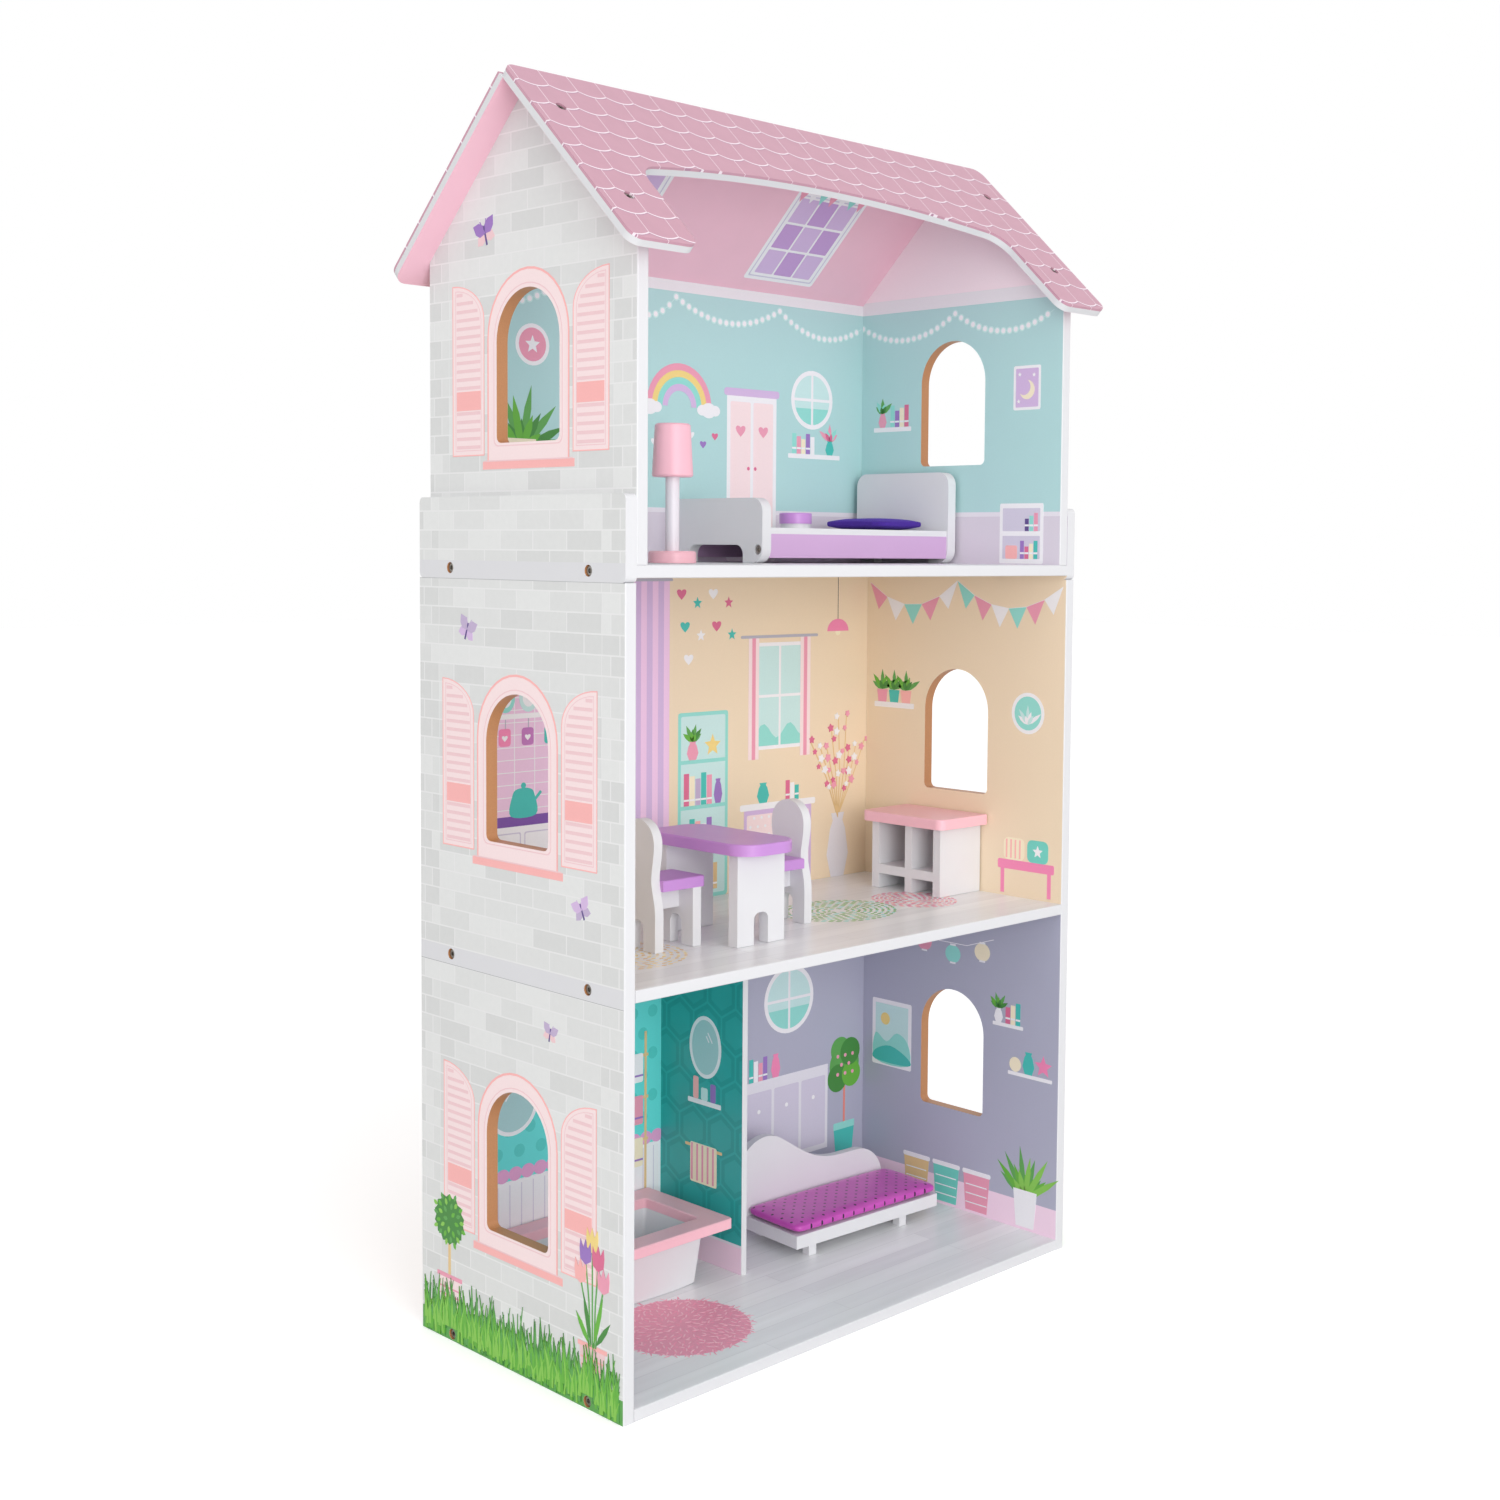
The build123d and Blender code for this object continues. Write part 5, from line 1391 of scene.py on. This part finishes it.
# %% [markdown]
# ## Rugs
#
# A shaggy rug is a disc of colour under hundreds of small tufts. A spiral that turns by the golden angle
# spreads them evenly, and neighbours go to different layers. The flat mats upstairs are rings of leaves
# that lie side by side.


# %% Rugs
GOLDEN_ANGLE = 2.39996  # radians


def shaggy(sheet, x, y, r, seed):
    """A round rug of tufts in three inks, each ink on six layers of its own."""
    grow = random.Random(seed)
    sheet.draw("pink", 1, disc(x, y, r - 3, count=60))
    for pile, (ink, count) in enumerate((("rug", 330), ("pink", 330), ("rugtip", 240))):
        spin, tufts = grow.uniform(0, math.tau), []
        for k in range(count):
            t, far = spin + GOLDEN_ANGLE * k, 0.96 * r * math.sqrt((k + 0.5) / count)
            turn = math.degrees(t) + grow.uniform(-70, 70)
            tufts.append(leafy(x + far * math.cos(t), y + far * math.sin(t), grow.uniform(5, 9), 1.6, turn))
        for start in range(6):
            sheet.draw(ink, 2 + 6 * pile + start, *tufts[start::6])


def woven(sheet, x, y, rx, ry, inks):
    """An oval mat of rings of leaves, each leaf along its ring."""
    ring = 1.0
    while ring > 0.08:
        count = max(4, int(math.tau * rx * ring / 8.0))
        for k in range(count):
            t = math.tau * (k + (0.5 if int(ring * 10) % 2 else 0)) / count
            at = (x + rx * ring * math.cos(t), y + ry * ring * math.sin(t))
            sheet.draw(inks[k % 3], 1, leafy(*at, 7.0, 4.2, math.degrees(t) + 90))
        ring -= 0.105


def floor_sheet(name, node, lift):
    """A sheet on top of a floor board, with the given thickness for each layer."""
    return Sheet(name, (0, 0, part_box(node)[1].z), (1, 0, 0), (0, 1, 0), lift=lift)


# The whole pile stays under the tub, which stands 0.3 mm above the boards.
rug = floor_sheet("print_lower_rug", "base_floor", 0.014)
shaggy(rug, -144, -44, 68, 3)
rug.press(slot="floor_boards")

mats = floor_sheet("print_middle_rugs", "middle_floor", 0.05)
woven(mats, 92, -14, 62, 54, ("leaf", "mint", "grass"))
woven(mats, 196, -24, 40, 46, ("pink", "rose", "salmon"))
woven(mats, -210, -30, 62, 60, ("sand", "yellow", "cream"))
mats.press(slot="floor_boards")

# %% [markdown]
# ## Cushion and pillow
#
# Both soft pieces are stuffed cloth. A thin slab with rounded corners is remeshed into small even
# squares, and a cloth simulation blows it up like a balloon for twenty frames. The pressure rounds the
# rims and crowns the top, and no point may move further than six millimetres. Afterwards the underside
# is pressed flat where the pad lies, one subdivision smooths it, and it is turned onto its place.


# %% Inflating a slab
THIN = 0.006  # metres: the slab before it is blown up
REACH = 0.006  # how far a point may move while it is
FRAMES = 20


def inflate(slab, pressure):
    """Blow the slab up by cloth simulation and keep every point within reach of where it was."""
    before = [v.co.copy() for v in slab.data.vertices]
    air = slab.modifiers.new("air", "CLOTH")
    air.settings.use_pressure = True
    air.settings.uniform_pressure_force = pressure
    air.settings.tension_stiffness = air.settings.compression_stiffness = 6.0
    air.settings.bending_stiffness = 0.2
    air.settings.effector_weights.gravity = 0.0
    air.point_cache.frame_start, air.point_cache.frame_end = 1, FRAMES
    for frame in range(1, FRAMES + 1):
        bpy.context.scene.frame_set(frame)
    bpy.ops.object.modifier_apply(modifier="air")
    for vertex, old in zip(slab.data.vertices, before):
        moved = vertex.co - old
        if moved.length > REACH:
            vertex.co = old + moved.normalized() * REACH
    bpy.context.scene.frame_set(1)


def changed(slab, kind, **settings):
    """Put a modifier on the slab and apply it at once."""
    modifier = slab.modifiers.new(kind, kind)
    for key, value in settings.items():
        setattr(modifier, key, value)
    bpy.ops.object.modifier_apply(modifier=modifier.name)


def stuffed(name, node, length, depth, corner, turn, pressure, cloth):
    """A pad in the place of a node. Length, depth and corner are millimetres, turn is degrees."""
    low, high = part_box(node)
    middle, height = (low + high) / 2, high.z - low.z
    outline = box2(-length / 2, -depth / 2, length / 2, depth / 2, corner)
    slab = flat_curve(name, [[(x * MM, y * MM) for x, y in outline]], THIN)
    bpy.ops.object.select_all(action="DESELECT")
    slab.select_set(True)
    bpy.context.view_layer.objects.active = slab
    bpy.ops.object.convert(target="MESH")
    slab = bpy.context.object
    slab.data.remesh_voxel_size = 0.0024
    bpy.ops.object.voxel_remesh()
    inflate(slab, pressure)
    sunk = max(vertex.co.z for vertex in slab.data.vertices) - height / 2
    for vertex in slab.data.vertices:
        vertex.co.z = max(vertex.co.z - sunk, -height / 2 + 0.0001)
    changed(slab, "SMOOTH", iterations=4)
    changed(slab, "SUBSURF", levels=1, render_levels=1)
    bpy.ops.object.shade_smooth()
    slab.data.transform(Matrix.Translation(middle) @ Matrix.Rotation(math.radians(turn), 4, "Z"))
    slab.data.materials.clear()
    slab.data.materials.append(cloth)
    spans = zip(*(vertex.co for vertex in slab.data.vertices))
    size = [round((max(span) - min(span)) / MM, 1) for span in spans]
    print(name, len(slab.data.polygons), "faces, measures", size, "mm")
    return slab


# %% Cloth for the cushion and plush for the pillow
CUSHION_TURN = -3.1  # degrees, with the sofa
DOT_ROW, DOT_STEP, DOT = 0.0075, 0.0150, 0.0015  # between rows, along a row, and a dot's radius


def satin():
    """Glossy purple cloth with rows of small dark dots, every other row half a step along."""
    low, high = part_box("sofa_cushion")
    made = Finish("dotted satin", 0.36)
    centred = {0: made.where, 1: (low + high) / 2}
    centred = made.node("ShaderNodeVectorMath", operation="SUBTRACT", sockets=centred)
    back = (0, 0, math.radians(-CUSHION_TURN))
    x, y, _ = made.parts(made.node("ShaderNodeMapping", sockets={"Vector": centred, "Rotation": back}))

    def squared_distance(steps, pitch):
        """The square of the distance from the nearest dot's middle, one way."""
        away = made.sum("MULTIPLY", made.sum("SUBTRACT", made.sum("FRACT", steps), 0.5), pitch)
        return made.sum("MULTIPLY", away, away)

    rows = made.sum("DIVIDE", y, DOT_ROW)
    odd = made.sum("MULTIPLY", made.sum("FLOORED_MODULO", made.sum("FLOOR", rows), 2.0), 0.5)
    steps = made.sum("ADD", made.sum("DIVIDE", x, DOT_STEP), odd)
    away = made.sum("ADD", squared_distance(rows, DOT_ROW), squared_distance(steps, DOT_STEP))
    dots = made.sum("LESS_THAN", away, DOT**2)
    # The cloth is lighter and darker in soft patches about a centimetre across: painted sheen, standing in
    # for the streaks of light on satin.
    cloth = made.tinted(linear(198, 78, 182), made.noise(70.0, 2.0), 0.12)
    made.sheen(0.5, 0.3, (255, 190, 240))
    made.relief(made.noise(420.0, 2.0), 0.0002, 0.5)
    return made.colour(made.mix(dots, cloth, linear(44, 12, 50)))


def plush():
    made = Finish("violet plush", 0.85)
    pile = made.noise(900.0, 3.0)
    made.sheen(0.35, 0.5, (120, 90, 220))
    made.relief(pile, 0.0004, 0.8)
    return made.colour(made.tinted(linear(66, 30, 146), pile, 0.25))


# %% The two pads in their places
for name, node, length, depth, corner, turn, body, slot, pressure, cloth in (
    ("sofa_pad", "sofa_cushion", 203, 82, 9, CUSHION_TURN, "cushion", "cushion_purple", 1.3, satin()),
    ("bed_pad", "bed_pillow", 71, 91, 15, 0, "pillow", "plush_violet", 1.5, plush()),
):
    pad_piece = stuffed(name, node, length, depth, corner, turn, pressure, cloth)
    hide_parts(node)
    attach(pad_piece, body)
